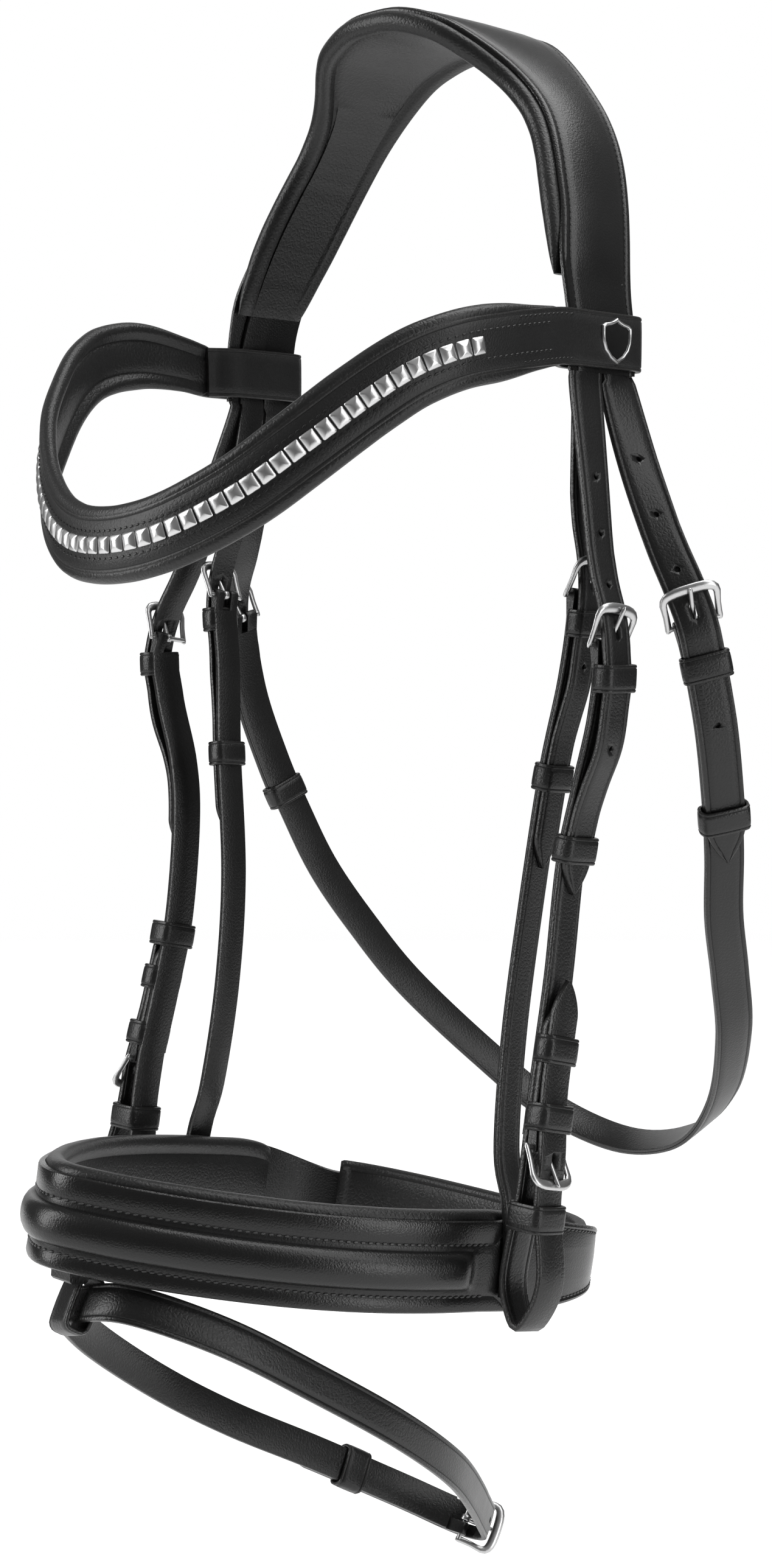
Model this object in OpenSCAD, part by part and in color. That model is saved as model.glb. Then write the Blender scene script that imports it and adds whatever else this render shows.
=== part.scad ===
// Snaffle bridle with a padded anatomical crown, a flash noseband and a throatlash.
// Frame: +X to the near side, -Y to the nose, +Z up. Origin: underside of the crown's middle.

/* [Leather] */
// Width of the cheek straps
cheek_w = 15; // [12:0.5:16]
// Width of the throatlash
throat_w = 17; // [14:0.5:18]
// Width of the noseband's own cheek straps
nose_strap_w = 13; // [12:0.5:14]
// Width of the flash strap
flash_w = 15; // [13:0.5:15]
// Thickness of a strap of two stitched layers
strap_t = 3.2; // [2.8:0.1:3.2]
// Thickness of a single-layer billet
billet_t = 2.6; // [2.2:0.1:2.6]

/* [Crown] */
// Thickness of the crown's outer leather
crown_t = 2.8; // [2.4:0.1:2.8]
// Depth of the crown's padding
crown_pad_t = 4.5; // [3:0.5:5]

/* [Browband] */
// Height of the browband's leather
brow_h = 22; // [20:1:24]
// Thickness of the browband's leather
brow_t = 2.4; // [2:0.1:2.6]
// Number of clincher plates
clincher_n = 51; // [41:2:51]
// Distance from one clincher plate to the next
clincher_pitch = 6.8; // [6.6:0.1:7]

/* [Noseband] */
// Height of the noseband
nose_h = 38; // [34:1:40]
// Height of the padded roll along its middle
roll_h = 15; // [12:1:16]
// How far the roll stands out
roll_d = 4.5; // [3:0.5:5]

/* [Buckles] */
// Radius of a buckle's bar
bar_r = 1.1; // [1:0.05:1.2]
// Radius of a buckle's frame wire
wire_r = 1.3; // [1.2:0.05:1.4]
// Distance from a buckle's bar to its far rail
buckle_l = 15; // [14.5:0.5:16]

/* [Hidden] */
$fn = 32;

// Colours of the three materials
LEATHER = "#2b2b2d";
LINING = "#363638";
STEEL = "#c9ccd0";

// ---- Curves: a run is [control points, direction across the strap, closed, twist table] ----
SAMPLES = 8; // samples between two control points

function unit(v) = v / norm(v);
function blend4(a, b, c, d, t) =
    0.5 * (2 * b + (c - a) * t + (2 * a - 5 * b + 4 * c - d) * t * t
    + (3 * b - a - 3 * c + d) * t * t * t);

function spans(run) = len(run[0]) - (run[2] ? 0 : 1);

// Control point i, wrapped on a closed run and carried on straight past an open end
function control(run, i) =
    let (p = run[0], n = len(p))
    run[2] ? p[(i + 2 * n) % n]
    : i < 0 ? 2 * p[0] - p[1]
    : i >= n ? 2 * p[n - 1] - p[n - 2]
    : p[i];

function point_u(run, u) =
    let (i = run[2] ? floor(u) : max(0, min(floor(u), spans(run) - 1)))
    blend4(control(run, i - 1), control(run, i), control(run, i + 1), control(run, i + 2), u - i);

// Table of [length along the run, parameter]
function arc_table(run) =
    [for (k = 0, s = 0; k <= spans(run) * SAMPLES;
        s = s + norm(point_u(run, (k + 1) / SAMPLES) - point_u(run, k / SAMPLES)), k = k + 1)
        [s, k / SAMPLES]];

// Length along the run at control point i
function length_at(table, i) = table[i * SAMPLES][0];
function total(table) = table[len(table) - 1][0];

function u_at(table, s) =
    s < 0 ? s / (table[1][0] * SAMPLES)
    : s > total(table) ? table[len(table) - 1][1] + (s - total(table)) / (table[1][0] * SAMPLES)
    : lookup(s, table);

// Place on a run at length s: [point, along, across, outward]
function place(run, table, s) =
    let (
        wrapped = run[2] ? (s < 0 ? s + total(table) : s >= total(table) ? s - total(table) : s) : s,
        u = u_at(table, wrapped),
        along = unit(point_u(run, u + 0.02) - point_u(run, u - 0.02)),
        flat = unit(cross(along, run[1])),
        twist = len(run) > 3 ? lookup(wrapped, run[3]) : 0,
        outward = flat * cos(twist) + cross(flat, along) * sin(twist)
    )
    [point_u(run, u), along, cross(outward, along), outward];

// ---- Solids swept along a run ----
// Closed skin over rings of equal length
module skin(rings) {
    n = len(rings[0]);
    m = len(rings);
    polyhedron(
        points = [for (r = rings) each r],
        faces = [
            [for (j = [0:n - 1]) j],
            [for (j = [n - 1:-1:0]) (m - 1) * n + j],
            for (i = [0:m - 2]) for (j = [0:n - 1]) each [
                [i * n + j, (i + 1) * n + j, i * n + (j + 1) % n],
                [i * n + (j + 1) % n, (i + 1) * n + j, (i + 1) * n + (j + 1) % n],
            ],
        ]
    );
}

// Ring of a section given as [across, outward] pairs
function ring(place, section) =
    [for (q = section) place[0] + place[2] * q[0] + place[3] * q[1]];

// Flat strap from s0 to s1; edges and offset are tables over the length
module ribbon(run, table, s0, s1, thick, low_edge, high_edge, offset, step = 8) {
    count = ceil((s1 - s0) / step);
    skin([for (k = [0:count])
        let (s = s0 + (s1 - s0) * k / count, c = lookup(s, offset))
        ring(place(run, table, s), [
            [lookup(s, low_edge), c - thick / 2],
            [lookup(s, high_edge), c - thick / 2],
            [lookup(s, high_edge), c + thick / 2],
            [lookup(s, low_edge), c + thick / 2],
        ])]);
}

// Flat strap of one width with a square start and a pointed end when tip is over 0
module strap(run, table, s0, s1, thick, w, offset, tip = 0, w0 = 0, step = 8) {
    start = w0 > 0 ? w0 : w;
    half = [for (k = [[s0, start], [min(s0 + 60, s1 - tip), w], [s1 - tip - 0.01, w],
        [s1 - tip * 0.35, w * 0.72], [s1, tip > 0 ? w * 0.25 : w]]) [k[0], k[1] / 2]];
    ribbon(run, table, s0, s1, thick, [for (h = half) [h[0], -h[1]]], half, offset, step);
}

// Children drawn in a place's own axes: X along, Y across, Z outward
module at(p, lift = 0) {
    o = p[0] + p[3] * lift;
    multmatrix([
        [p[1].x, p[2].x, p[3].x, o.x],
        [p[1].y, p[2].y, p[3].y, o.y],
        [p[1].z, p[2].z, p[3].z, o.z],
        [0, 0, 0, 1],
    ]) children();
}

module far_side() mirror([1, 0, 0]) children();

// ---- Buckles: the bar lies on the origin, the frame reaches along -X ----
WRAP_R = bar_r + 1.4;           // leather folded round the bar
WRAP_END = 5;                   // from the bar to the start of the full strap
BILLET_LIFT = WRAP_R + 0.15 + billet_t / 2;
RAIL_LIFT = BILLET_LIFT + billet_t / 2 + 0.2 + wire_r;
FRAME_TILT = asin(RAIL_LIFT / buckle_l);
TONGUE_R = 1.0;
TONGUE_TILT = FRAME_TILT + asin((wire_r + TONGUE_R + 0.05) / buckle_l);
EYE_R = bar_r + 0.95;
EYE_W = 3.2;
EYE_GAP = 0.05;
SIDE_R = wire_r + 0.15;         // radius of the frame's two sides

module bar(r, l, y = 0) translate([0, y, 0]) rotate([90, 0, 0]) cylinder(r = r, h = l, center = true);

module buckle_frame(w) {
    side = w / 2 + 0.9 + SIDE_R;
    rotate([0, FRAME_TILT, 0]) union() {
        bar(bar_r, 2 * side);
        translate([-buckle_l, 0, 0]) bar(wire_r, 2 * side + 0.6);
        for (y = [-side, side])
            translate([-buckle_l - wire_r - 0.3, y, 0]) rotate([0, 90, 0])
                cylinder(r = SIDE_R, h = buckle_l + 2 * wire_r + 0.6);
    }
}

module buckle_tongue() {
    difference() {
        rotate([0, TONGUE_TILT, 0]) union() {
            bar(EYE_R, EYE_W);
            translate([-buckle_l - 2.2, 0, 0]) rotate([0, 90, 0])
                cylinder(r = TONGUE_R, h = buckle_l + 2.2 - bar_r - 0.4);
        }
        bar(bar_r + EYE_GAP, EYE_W + 2);
    }
}

// Leather folded round the bar, with the tongue's slot; the strap itself runs on along +X
module bar_wrap(w) {
    difference() {
        union() {
            bar(WRAP_R, w);
            translate([0, -w / 2 + 0.5, -1]) cube([9, w - 1, 2]);
        }
        bar(bar_r + EYE_GAP, w + 2);
        translate([-4, -EYE_W / 2 - 0.4, -4]) cube([7.5, EYE_W + 0.8, 8]);
    }
}

// Slot that a tongue passes through in the billet that lies over the bar
module tongue_slot() {
    translate([-9.8, -1.4, BILLET_LIFT - billet_t]) cube([9.8, 2.8, 2 * billet_t]);
}

// Punched hole through a billet
module punched_hole() {
    translate([0, 0, -6]) cylinder(r = 1.6, h = 16);
}

// Band round a stack that reaches from low to high, with its play
module band(w, low, high, l, wall, play) {
    translate([-l / 2, 0, 0]) difference() {
        translate([0, -w / 2 - play - wall, low - play - wall])
            cube([l, w + 2 * (play + wall), high - low + 2 * (play + wall)]);
        translate([-1, -w / 2 - play, low - play])
            cube([l + 2, w + 2 * play, high - low + 2 * play]);
    }
}

STACK_LOW = -strap_t / 2;
STACK_HIGH = BILLET_LIFT + billet_t / 2;
KEEPER_WALL = 1.6;
KEEPER_L = 11;
KEEPER_PLAY = 0.35;
RUNNER_PLAY = 0.6;

module keeper(w, high = STACK_HIGH, l = KEEPER_L) band(w, STACK_LOW, high, l, KEEPER_WALL, KEEPER_PLAY);
module runner(w, high = STACK_HIGH) band(w, STACK_LOW, high, KEEPER_L, KEEPER_WALL, RUNNER_PLAY);

// ---- Crown: an arch in the XZ plane, extruded along Y between its two edges ----
ARCH = [[0, 0, 4.5], [12, 0, 4], [24, 0, 1], [35, 0, -4], [46, 0, -13], [57, 0, -24.5], [67, 0, -37],
    [76, 0, -52], [84, 0, -70], [91, 0, -90], [96, 0, -111], [99, 0, -131], [99, 0, -150]];
function mirrored(pts) = [for (i = [len(pts) - 1:-1:1]) [-pts[i].x, pts[i].y, pts[i].z]];
CROWN = [concat(mirrored(ARCH), ARCH), [0, 1, 0], false];
CROWN_ARC = arc_table(CROWN);
TOP = length_at(CROWN_ARC, 12);
CROWN_FRONT = [[0, -33], [12, -32.5], [24, -30], [36, -26], [45, -21], [55, -14.5], [66, -9], [78, -6.5],
    [90, -7], [105, -10.5], [120, -14.5], [134, -17.5], [154, -20], [210, -20]];
CROWN_BACK = [[0, 49], [24, 48.5], [50, 45], [68, 42.5], [84, 42], [95, 41], [113, 36], [142, 26],
    [157, 21.5], [170, 20], [210, 20]];
PAD_END = 165;                  // length of the padding from the top to its end
LEATHER_SETBACK = 4.5;          // leather edge behind the padding's front roll

function both_sides(table, shift = 0) = concat(
    [for (i = [len(table) - 1:-1:0]) [TOP - table[i][0], table[i][1] + shift]],
    [for (i = [1:len(table) - 1]) [TOP + table[i][0], table[i][1] + shift]]);

FRONT_EDGE = [for (q = CROWN_FRONT) [q[0], min(q[1] + LEATHER_SETBACK, q[0] > 150 ? -20 : 60)]];

module crown_leather() {
    color(LEATHER)
        ribbon(CROWN, CROWN_ARC, 0, 2 * TOP, crown_t, both_sides(FRONT_EDGE), both_sides(CROWN_BACK),
            [[0, 2.6 + crown_t / 2]], 8);
}

module crown_padding() {
    count = 40;
    color(LINING)
        skin([for (k = [0:count])
            let (
                s = TOP - PAD_END + 2 * PAD_END * k / count,
                f = lookup(s, both_sides(CROWN_FRONT)) - 2,
                b = lookup(s, both_sides(CROWN_BACK)) - 1,
                d = crown_pad_t
            )
            ring(place(CROWN, CROWN_ARC, s), [
                [f, -d * 0.5], [f + 3, -d], [f + 7, -d * 0.6], [b - 7, -d * 0.6], [b - 3, -d], [b, -d * 0.5],
                [b - 1, -0.2], [f + 1, -0.2],
            ])]);
}

HEADSTRAP_MID = both_sides([[0, 8], [80, 8], [150, -4], [175, -8], [210, -8]]);

module noseband_headstrap() {
    half = nose_strap_w / 2;
    color(LEATHER)
        ribbon(CROWN, CROWN_ARC, 0, 2 * TOP, 2.2, [for (q = HEADSTRAP_MID) [q[0], q[1] - half]],
            [for (q = HEADSTRAP_MID) [q[0], q[1] + half]], [[0, 1.3]], 10);
}

// ---- Browband ----
LOOP_TOP = -121;
LOOP_H = 25;
LOOP_X = [95, 109];
LOOP_HALF_Y = 23.7;
BROW_NEAR = [[0, -173, -216], [20, -171, -214], [39, -165.5, -208], [60, -154.5, -196], [77, -140, -180],
    [91, -122, -163], [101, -106, -151], [108, -88, -143.5], [110, -66, -139], [108.5, -44, -135.5],
    [106.7, -30, -133.7], [106.3, -22.5, -133.5]];
// The far half rides a little higher in front of its loop
BROW_FAR = [[0, -173, -216], [20, -171, -214], [39, -165.5, -207], [60, -155, -193.5], [78, -141, -175.5],
    [92, -123, -156], [102, -106, -141.5], [109, -88, -132.5], [110.5, -66, -128.5], [108.5, -44, -130.5],
    [106.7, -30, -133.2], [106.3, -22.5, -133.5]];
BROW = [concat(mirrored(BROW_FAR), BROW_NEAR), [0, 0, 1], false];
BROW_ARC = arc_table(BROW);
BROW_MID = length_at(BROW_ARC, 11);

// The browband's outward side is to its left as it runs from far to near
function brow_place(s) =
    let (p = place(BROW, BROW_ARC, s), out = unit(cross(p[1], [0, 0, 1])))
    [p[0], p[1], cross(out, p[1]), out];

// Sweep that stops the same distance short of both ends
module brow_sweep(inset, section, step = 9) {
    l = total(BROW_ARC) - 2 * inset;
    count = ceil(l / step);
    skin([for (k = [0:count]) ring(brow_place(inset + l * k / count), section)]);
}

module end_loop() {
    translate([0, 0, LOOP_TOP - LOOP_H]) linear_extrude(height = LOOP_H) difference() {
        translate([LOOP_X[0], -LOOP_HALF_Y]) square([LOOP_X[1] - LOOP_X[0], 2 * LOOP_HALF_Y]);
        translate([LOOP_X[0] + 2.2, -LOOP_HALF_Y + 2.2])
            square([LOOP_X[1] - LOOP_X[0] - 4.4, 2 * LOOP_HALF_Y - 4.4]);
    }
}

module browband_leather() {
    h = brow_h / 2;
    color(LEATHER) union() {
        brow_sweep(0, [[h, 0], [h, brow_t], [-h, brow_t], [-h, 0]]);
        end_loop();
        far_side() end_loop();
    }
}

module browband_padding() {
    h = brow_h / 2 + 3;
    color(LINING)
        brow_sweep(34, [[h, -1.2], [h - 1, -0.6], [1 - h, -0.6], [-h, -1.2], [-h + 1, -5], [-h + 5, -5],
            [-h + 7, -3.4], [h - 7, -3.4], [h - 5, -5], [h - 1, -5]]);
}

module clincher_plates() {
    w = 2.9;
    h = 2.9;
    span = [brow_t + 0.3, brow_t + 1.9];
    color(STEEL) for (k = [0:clincher_n - 1])
        at(brow_place(BROW_MID + (k - (clincher_n - 1) / 2) * clincher_pitch))
            translate([-w, -h, span[0]]) cube([2 * w, 2 * h, span[1] - span[0]]);
}

module browband_badge() {
    color(STEEL)
        translate([LOOP_X[1] + 0.05, 1.5, LOOP_TOP - LOOP_H / 2]) rotate([90, 0, 90])
        linear_extrude(height = 1.4)
        polygon([[0, 9], [7, 6.5], [7, -1], [4.5, -6], [0, -9], [-4.5, -6], [-7, -1], [-7, 6.5]]);
}

// ---- Cheekpiece, near side: hinge end, bar of the top buckle, bar of the bit buckle, bit loop ----
ACROSS = [0, 1, 0];
CHEEK = [[[103.5, -10.5, -154], [118, -21, -201], [133, -32, -255], [131.5, -32.5, -281], [122.5, -32, -312],
    [117.5, -34.5, -340], [116.5, -40, -384], [117.5, -48, -418], [119, -56, -450], [119.5, -62, -482],
    [119, -67, -512]], ACROSS, false];
CHEEK_ARC = arc_table(CHEEK);
CHEEK_BAR = length_at(CHEEK_ARC, 2);
BIT_BAR = length_at(CHEEK_ARC, 8);
BIT_LIFT = strap_t / 2 + WRAP_R + 0.15;     // the bit buckle's bar over the strap's middle
RETURN_LIFT = BIT_LIFT + BILLET_LIFT;       // the returned end over the strap's middle
CHEEK_TIP = 100;                            // billet's end below the top bar
LOOP_DROP = 68;                             // bit loop's bottom below the bit bar
RETURN_TIP = 66;                            // returned end above the bit bar

function cheek_place(s) = place(CHEEK, CHEEK_ARC, s);
function billet_offset(bar) = [[bar - 40, 0], [bar - 12, BILLET_LIFT], [bar + 200, BILLET_LIFT]];

module cheek_billet() {
    color(LEATHER) difference() {
        strap(CHEEK, CHEEK_ARC, 0, CHEEK_BAR + CHEEK_TIP, billet_t, cheek_w, billet_offset(CHEEK_BAR), 14, 18, 6);
        at(cheek_place(CHEEK_BAR)) tongue_slot();
        for (d = [-70, -46, -24, 38]) at(cheek_place(CHEEK_BAR + d)) punched_hole();
    }
}

// Centre line of the cheek strap's lower end: down the inside, round the bit and back up outside
BIT_TURN = [[-6, 0], [0, 0], [20, -0.5], [36, -2.5], [52, -3.5], [62, -0.5], [LOOP_DROP - 3, 6],
    [61, 12.5], [50, 15], [38, 13], [26, 9.6], [16, RETURN_LIFT], [4, RETURN_LIFT], [-10, RETURN_LIFT],
    [-30, RETURN_LIFT], [-RETURN_TIP + 12, RETURN_LIFT], [-RETURN_TIP, RETURN_LIFT]];
TURN_PATH = [[for (q = BIT_TURN) let (p = cheek_place(BIT_BAR + q[0])) p[0] + p[3] * q[1]],
    cheek_place(BIT_BAR)[2], false];
TURN_ARC = arc_table(TURN_PATH);

module cheek_strap() {
    color(LEATHER) difference() {
        union() {
            strap(CHEEK, CHEEK_ARC, CHEEK_BAR + WRAP_END, BIT_BAR - 5, strap_t, cheek_w, [[0, 0]], 0, 0, 10);
            strap(TURN_PATH, TURN_ARC, 0, total(TURN_ARC), billet_t, cheek_w, [[0, 0]], 12, 0, 5);
            at(cheek_place(CHEEK_BAR)) bar_wrap(cheek_w);
        }
        bit_bar_place() tongue_slot();
        at(cheek_place(BIT_BAR - 26)) translate([0, 0, RETURN_LIFT - 3]) cylinder(r = 1.6, h = 6);
    }
}

// The bit buckle points down, so its axes are turned half round
module bit_bar_place() at(cheek_place(BIT_BAR), BIT_LIFT) rotate([0, 0, 180]) children();

module bit_chape() {
    bit_bar_place() difference() {
        union() {
            bar(WRAP_R, cheek_w);
            translate([0, -cheek_w / 2, -WRAP_R]) cube([12, cheek_w, WRAP_R + 1.2]);
        }
        bar(bar_r + EYE_GAP, cheek_w + 2);
        translate([-4, -EYE_W / 2 - 0.4, -4]) cube([7.5, EYE_W + 0.8, 8]);
    }
}

module cheek_keepers() {
    high = RETURN_LIFT + billet_t / 2;
    color(LEATHER) {
        at(cheek_place(CHEEK_BAR + 12)) band(cheek_w, STACK_LOW, STACK_HIGH, KEEPER_L, KEEPER_WALL, 0.65);
        for (d = [-38, -11.5]) at(cheek_place(BIT_BAR + d)) keeper(cheek_w, high);
        at(cheek_place(BIT_BAR + 27)) band(cheek_w, -4, high + 3, KEEPER_L, KEEPER_WALL, KEEPER_PLAY);
        bit_chape();
    }
}

module cheek_buckle() color(STEEL) at(cheek_place(CHEEK_BAR)) buckle_frame(cheek_w);
module cheek_tongue() color(STEEL) at(cheek_place(CHEEK_BAR)) buckle_tongue();
module bit_buckle() color(STEEL) bit_bar_place() buckle_frame(cheek_w);
module bit_tongue() color(STEEL) bit_bar_place() buckle_tongue();

module near_cheek_billet() cheek_billet();
module near_cheek_strap() cheek_strap();
module near_cheek_keepers() cheek_keepers();
module near_cheek_runner() color(LEATHER) at(cheek_place(CHEEK_BAR + 82)) runner(cheek_w);
module near_cheek_buckle() cheek_buckle();
module near_cheek_tongue() cheek_tongue();
module near_bit_buckle() bit_buckle();
module near_bit_tongue() bit_tongue();
module far_cheek_billet() far_side() cheek_billet();
module far_cheek_strap() far_side() cheek_strap();
module far_cheek_keepers() far_side() cheek_keepers();
// The far runner has slid down over the tip of the returned end
module far_cheek_runner()
    far_side() color(LEATHER) at(cheek_place(BIT_BAR - 59)) runner(cheek_w, RETURN_LIFT + billet_t / 2);
module far_cheek_buckle() far_side() cheek_buckle();
module far_cheek_tongue() far_side() cheek_tongue();
module far_bit_buckle() far_side() bit_buckle();
module far_bit_tongue() far_side() bit_tongue();

// ---- Noseband: a closed outline in a plane that falls towards the chin ----
NOSE_Z = -494;
NOSE_SLOPE = 11.3;
NOSE_HALF = [[0, -199], [22, -189], [40, -173], [56, -154], [70, -133], [81, -110], [88.5, -85], [92.5, -58],
    [93.5, -30], [91.5, -3], [83, 20], [65, 36], [36, 44], [0, 46]];
NOSE = [concat([for (q = NOSE_HALF) [q.x, q.y, 0]],
    [for (i = [len(NOSE_HALF) - 2:-1:1]) [-NOSE_HALF[i].x, NOSE_HALF[i].y, 0]]), [0, 0, 1], true];
NOSE_ARC = arc_table(NOSE);
NOSE_LOOP = total(NOSE_ARC);
NEAR_SIDE = length_at(NOSE_ARC, 7);
NEAR_CORNER = length_at(NOSE_ARC, 10);
REAR = length_at(NOSE_ARC, 13);
CHIN_BAR = REAR + 4;
CHIN_W = 16;

module nose_frame() translate([0, 0, NOSE_Z]) rotate([-NOSE_SLOPE, 0, 0]) children();

// Outward here is away from the inside of the ring; s runs from the nose to the near side
function nose_place(s) =
    let (
        wrapped = s < 0 ? s + NOSE_LOOP : s >= NOSE_LOOP ? s - NOSE_LOOP : s,
        p = point_u(NOSE, lookup(wrapped, NOSE_ARC)),
        q = point_u(NOSE, lookup(wrapped, NOSE_ARC) + 0.05) - point_u(NOSE, lookup(wrapped, NOSE_ARC) - 0.05),
        along = unit(q)
    )
    [p, along, [0, 0, 1], cross(along, [0, 0, 1])];

module nose_sweep(s0, s1, sections, step = 9) {
    count = ceil((s1 - s0) / step);
    skin([for (k = [0:count])
        let (s = s0 + (s1 - s0) * k / count)
        ring(nose_place(s), sections(s))]);
}

// Height of the leather's lower and upper edge, and the roll, along its length
NOSE_MID = -nose_h / 2;
NOSE_TAPER = [[-NEAR_SIDE - 92, CHIN_W / 2], [-NEAR_SIDE - 46, nose_h / 2], [NEAR_CORNER - 6, nose_h / 2],
    [NEAR_CORNER + 34, CHIN_W / 2]];
ROLL = [[-NEAR_SIDE + 8, 0], [-NEAR_SIDE + 18, 1], [NEAR_SIDE - 18, 1], [NEAR_SIDE - 8, 0]];
nose_section = function (s)
    let (
        h = lookup(s, NOSE_TAPER),
        r = lookup(s, ROLL) * roll_d + 4.5,
        q = min(roll_h / 2, h - 1.5)
    )
    [[NOSE_MID + h, 1.5], [NOSE_MID + h, 4.3], [NOSE_MID + q, 4.5], [NOSE_MID + q * 0.6, 4.5 + (r - 4.5) * 0.8],
        [NOSE_MID, r], [NOSE_MID - q * 0.6, 4.5 + (r - 4.5) * 0.8], [NOSE_MID - q, 4.5],
        [NOSE_MID - h, 4.3], [NOSE_MID - h, 1.5]];

CHIN_LIFT = 3;                  // middle of the chin straps, outward of the outline
FAR_BAR = CHIN_BAR - NOSE_LOOP; // the bar's place, counted from the far side
CHIN_BILLET_LIFT = [[FAR_BAR + 12, BILLET_LIFT], [FAR_BAR + 40, 0]];

module noseband_leather() {
    color(LEATHER) nose_frame() difference() {
        union() {
            nose_sweep(FAR_BAR + 44, CHIN_BAR - WRAP_END, nose_section);
            at(chin_bar()) bar_wrap(CHIN_W);
            chin_billet();
        }
        at(chin_bar()) tongue_slot();
    }
}

// Bar of the chin buckle: its strap runs back towards the near side
function chin_bar() =
    let (p = nose_place(CHIN_BAR))
    [p[0] + p[3] * CHIN_LIFT + [0, 0, NOSE_MID], -p[1], [0, 0, -1], p[3]];

// The far end comes round the chin and lies over the near end
module chin_billet() {
    count = 20;
    s0 = FAR_BAR - 52;
    s1 = FAR_BAR + 48;
    skin([for (k = [0:count])
        let (
            s = s0 + (s1 - s0) * k / count,
            c = CHIN_LIFT + lookup(s, CHIN_BILLET_LIFT),
            h = lookup(s, [[s0, 2.5], [s0 + 12, CHIN_W / 2 - 0.3]])
        )
        ring(nose_place(s), [[NOSE_MID - h, c - billet_t / 2], [NOSE_MID + h, c - billet_t / 2],
            [NOSE_MID + h, c + billet_t / 2], [NOSE_MID - h, c + billet_t / 2]])]);
}

pad_section = function (s) [[2, 0.8], [-nose_h - 0.5, 0.8], [-nose_h - 1.5, -2], [-nose_h - 0.5, -5],
    [-nose_h + 3, -6.5], [-nose_h + 8, -6], [-8, -6], [-3, -8], [2, -6.5], [3.5, -2]];
chin_section = function (s) [[-5, 0.3], [-nose_h + 5, 0.3], [-nose_h + 5, -4.5], [-nose_h + 9, -5],
    [-9, -5], [-5, -4.5]];

module noseband_padding() color(LINING) nose_frame() nose_sweep(-NEAR_SIDE - 52, NEAR_SIDE + 52, pad_section);
module chin_padding() color(LINING) nose_frame() nose_sweep(NEAR_SIDE + 54, NOSE_LOOP - NEAR_SIDE - 90, chin_section);
module chin_buckle() color(STEEL) nose_frame() at(chin_bar()) buckle_frame(CHIN_W);
module chin_tongue() color(STEEL) nose_frame() at(chin_bar()) buckle_tongue();

module chin_keepers() {
    color(LEATHER) nose_frame() for (d = [18, 38]) {
        p = nose_place(CHIN_BAR - d);
        at([p[0] + p[3] * CHIN_LIFT + [0, 0, NOSE_MID], -p[1], [0, 0, -1], p[3]]) keeper(CHIN_W, STACK_HIGH, 9);
    }
}

// ---- The noseband's cheek straps, near side ----
NOSE_STRAP = [[[100.3, -8, -152], [104, -13, -193], [108, -18, -235], [104.5, -19.5, -267], [98.5, -24.5, -306],
    [91, -28.5, -363], [88.5, -35, -413], [91, -42, -458], [97, -44, -478], [99.8, -46, -496],
    [99.8, -49, -516]], ACROSS, false];
NOSE_STRAP_ARC = arc_table(NOSE_STRAP);
NOSE_BAR = length_at(NOSE_STRAP_ARC, 2);
NOSE_TIP = 111;                 // billet's end below the bar
function nose_strap_place(s) = place(NOSE_STRAP, NOSE_STRAP_ARC, s);

module noseband_billet() {
    color(LEATHER) difference() {
        strap(NOSE_STRAP, NOSE_STRAP_ARC, 0, NOSE_BAR + NOSE_TIP, 2.2, nose_strap_w, billet_offset(NOSE_BAR), 14, 0, 6);
        at(nose_strap_place(NOSE_BAR)) tongue_slot();
        for (d = [-48, -26, 28]) at(nose_strap_place(NOSE_BAR + d)) punched_hole();
    }
}

module noseband_strap() {
    color(LEATHER) union() {
        strap(NOSE_STRAP, NOSE_STRAP_ARC, NOSE_BAR + WRAP_END, total(NOSE_STRAP_ARC), strap_t, nose_strap_w,
            [[0, 0]], 0, 0, 10);
        at(nose_strap_place(NOSE_BAR)) bar_wrap(nose_strap_w);
    }
}

module noseband_keeper() color(LEATHER) at(nose_strap_place(NOSE_BAR + 11)) keeper(nose_strap_w);
module noseband_runner() color(LEATHER) at(nose_strap_place(NOSE_BAR + 74)) runner(nose_strap_w);
module noseband_buckle() color(STEEL) at(nose_strap_place(NOSE_BAR)) buckle_frame(nose_strap_w);
module noseband_tongue() color(STEEL) at(nose_strap_place(NOSE_BAR)) buckle_tongue();

module near_noseband_billet() noseband_billet();
module near_noseband_strap() noseband_strap();
module near_noseband_keeper() noseband_keeper();
module near_noseband_runner() noseband_runner();
module near_noseband_buckle() noseband_buckle();
module near_noseband_tongue() noseband_tongue();
module far_noseband_billet() far_side() noseband_billet();
module far_noseband_strap() far_side() noseband_strap();
module far_noseband_keeper() far_side() noseband_keeper();
module far_noseband_runner() far_side() noseband_runner();
module far_noseband_buckle() far_side() noseband_buckle();
module far_noseband_tongue() far_side() noseband_tongue();

// ---- Throatlash: one run from the near billet round to the far billet ----
THROAT_HALF = [[0, 147, -502], [43, 140, -491], [75, 124, -465], [101, 97, -429], [114, 76, -398],
    [123, 59, -370], [131, 48, -342], [136.5, 38, -315], [140, 27, -282], [137, 18, -246], [126, 12, -213],
    [114, 10, -182], [103, 10.5, -152]];
THROAT = [concat([for (i = [len(THROAT_HALF) - 1:-1:1]) THROAT_HALF[i]],
    [THROAT_HALF[0]], [for (i = [1:len(THROAT_HALF) - 1]) [-THROAT_HALF[i].x, THROAT_HALF[i].y, THROAT_HALF[i].z]]),
    [0, cos(27), sin(27)], false, [[0, 0], [50, -20], [90, -35], [290, -35], [350, -20], [410, 0]]];
THROAT_ARC = arc_table(THROAT);
THROAT_END = total(THROAT_ARC);
THROAT_BAR = length_at(THROAT_ARC, 3);
THROAT_TIP = 104;
function throat_place(s) = place(THROAT, THROAT_ARC, s);
// The far side's places run the other way, so that the strap still leaves its bar along +X
function turned(p) = [p[0], -p[1], -p[2], p[3]];
function far_throat_place(s) = turned(throat_place(THROAT_END - s));

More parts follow.
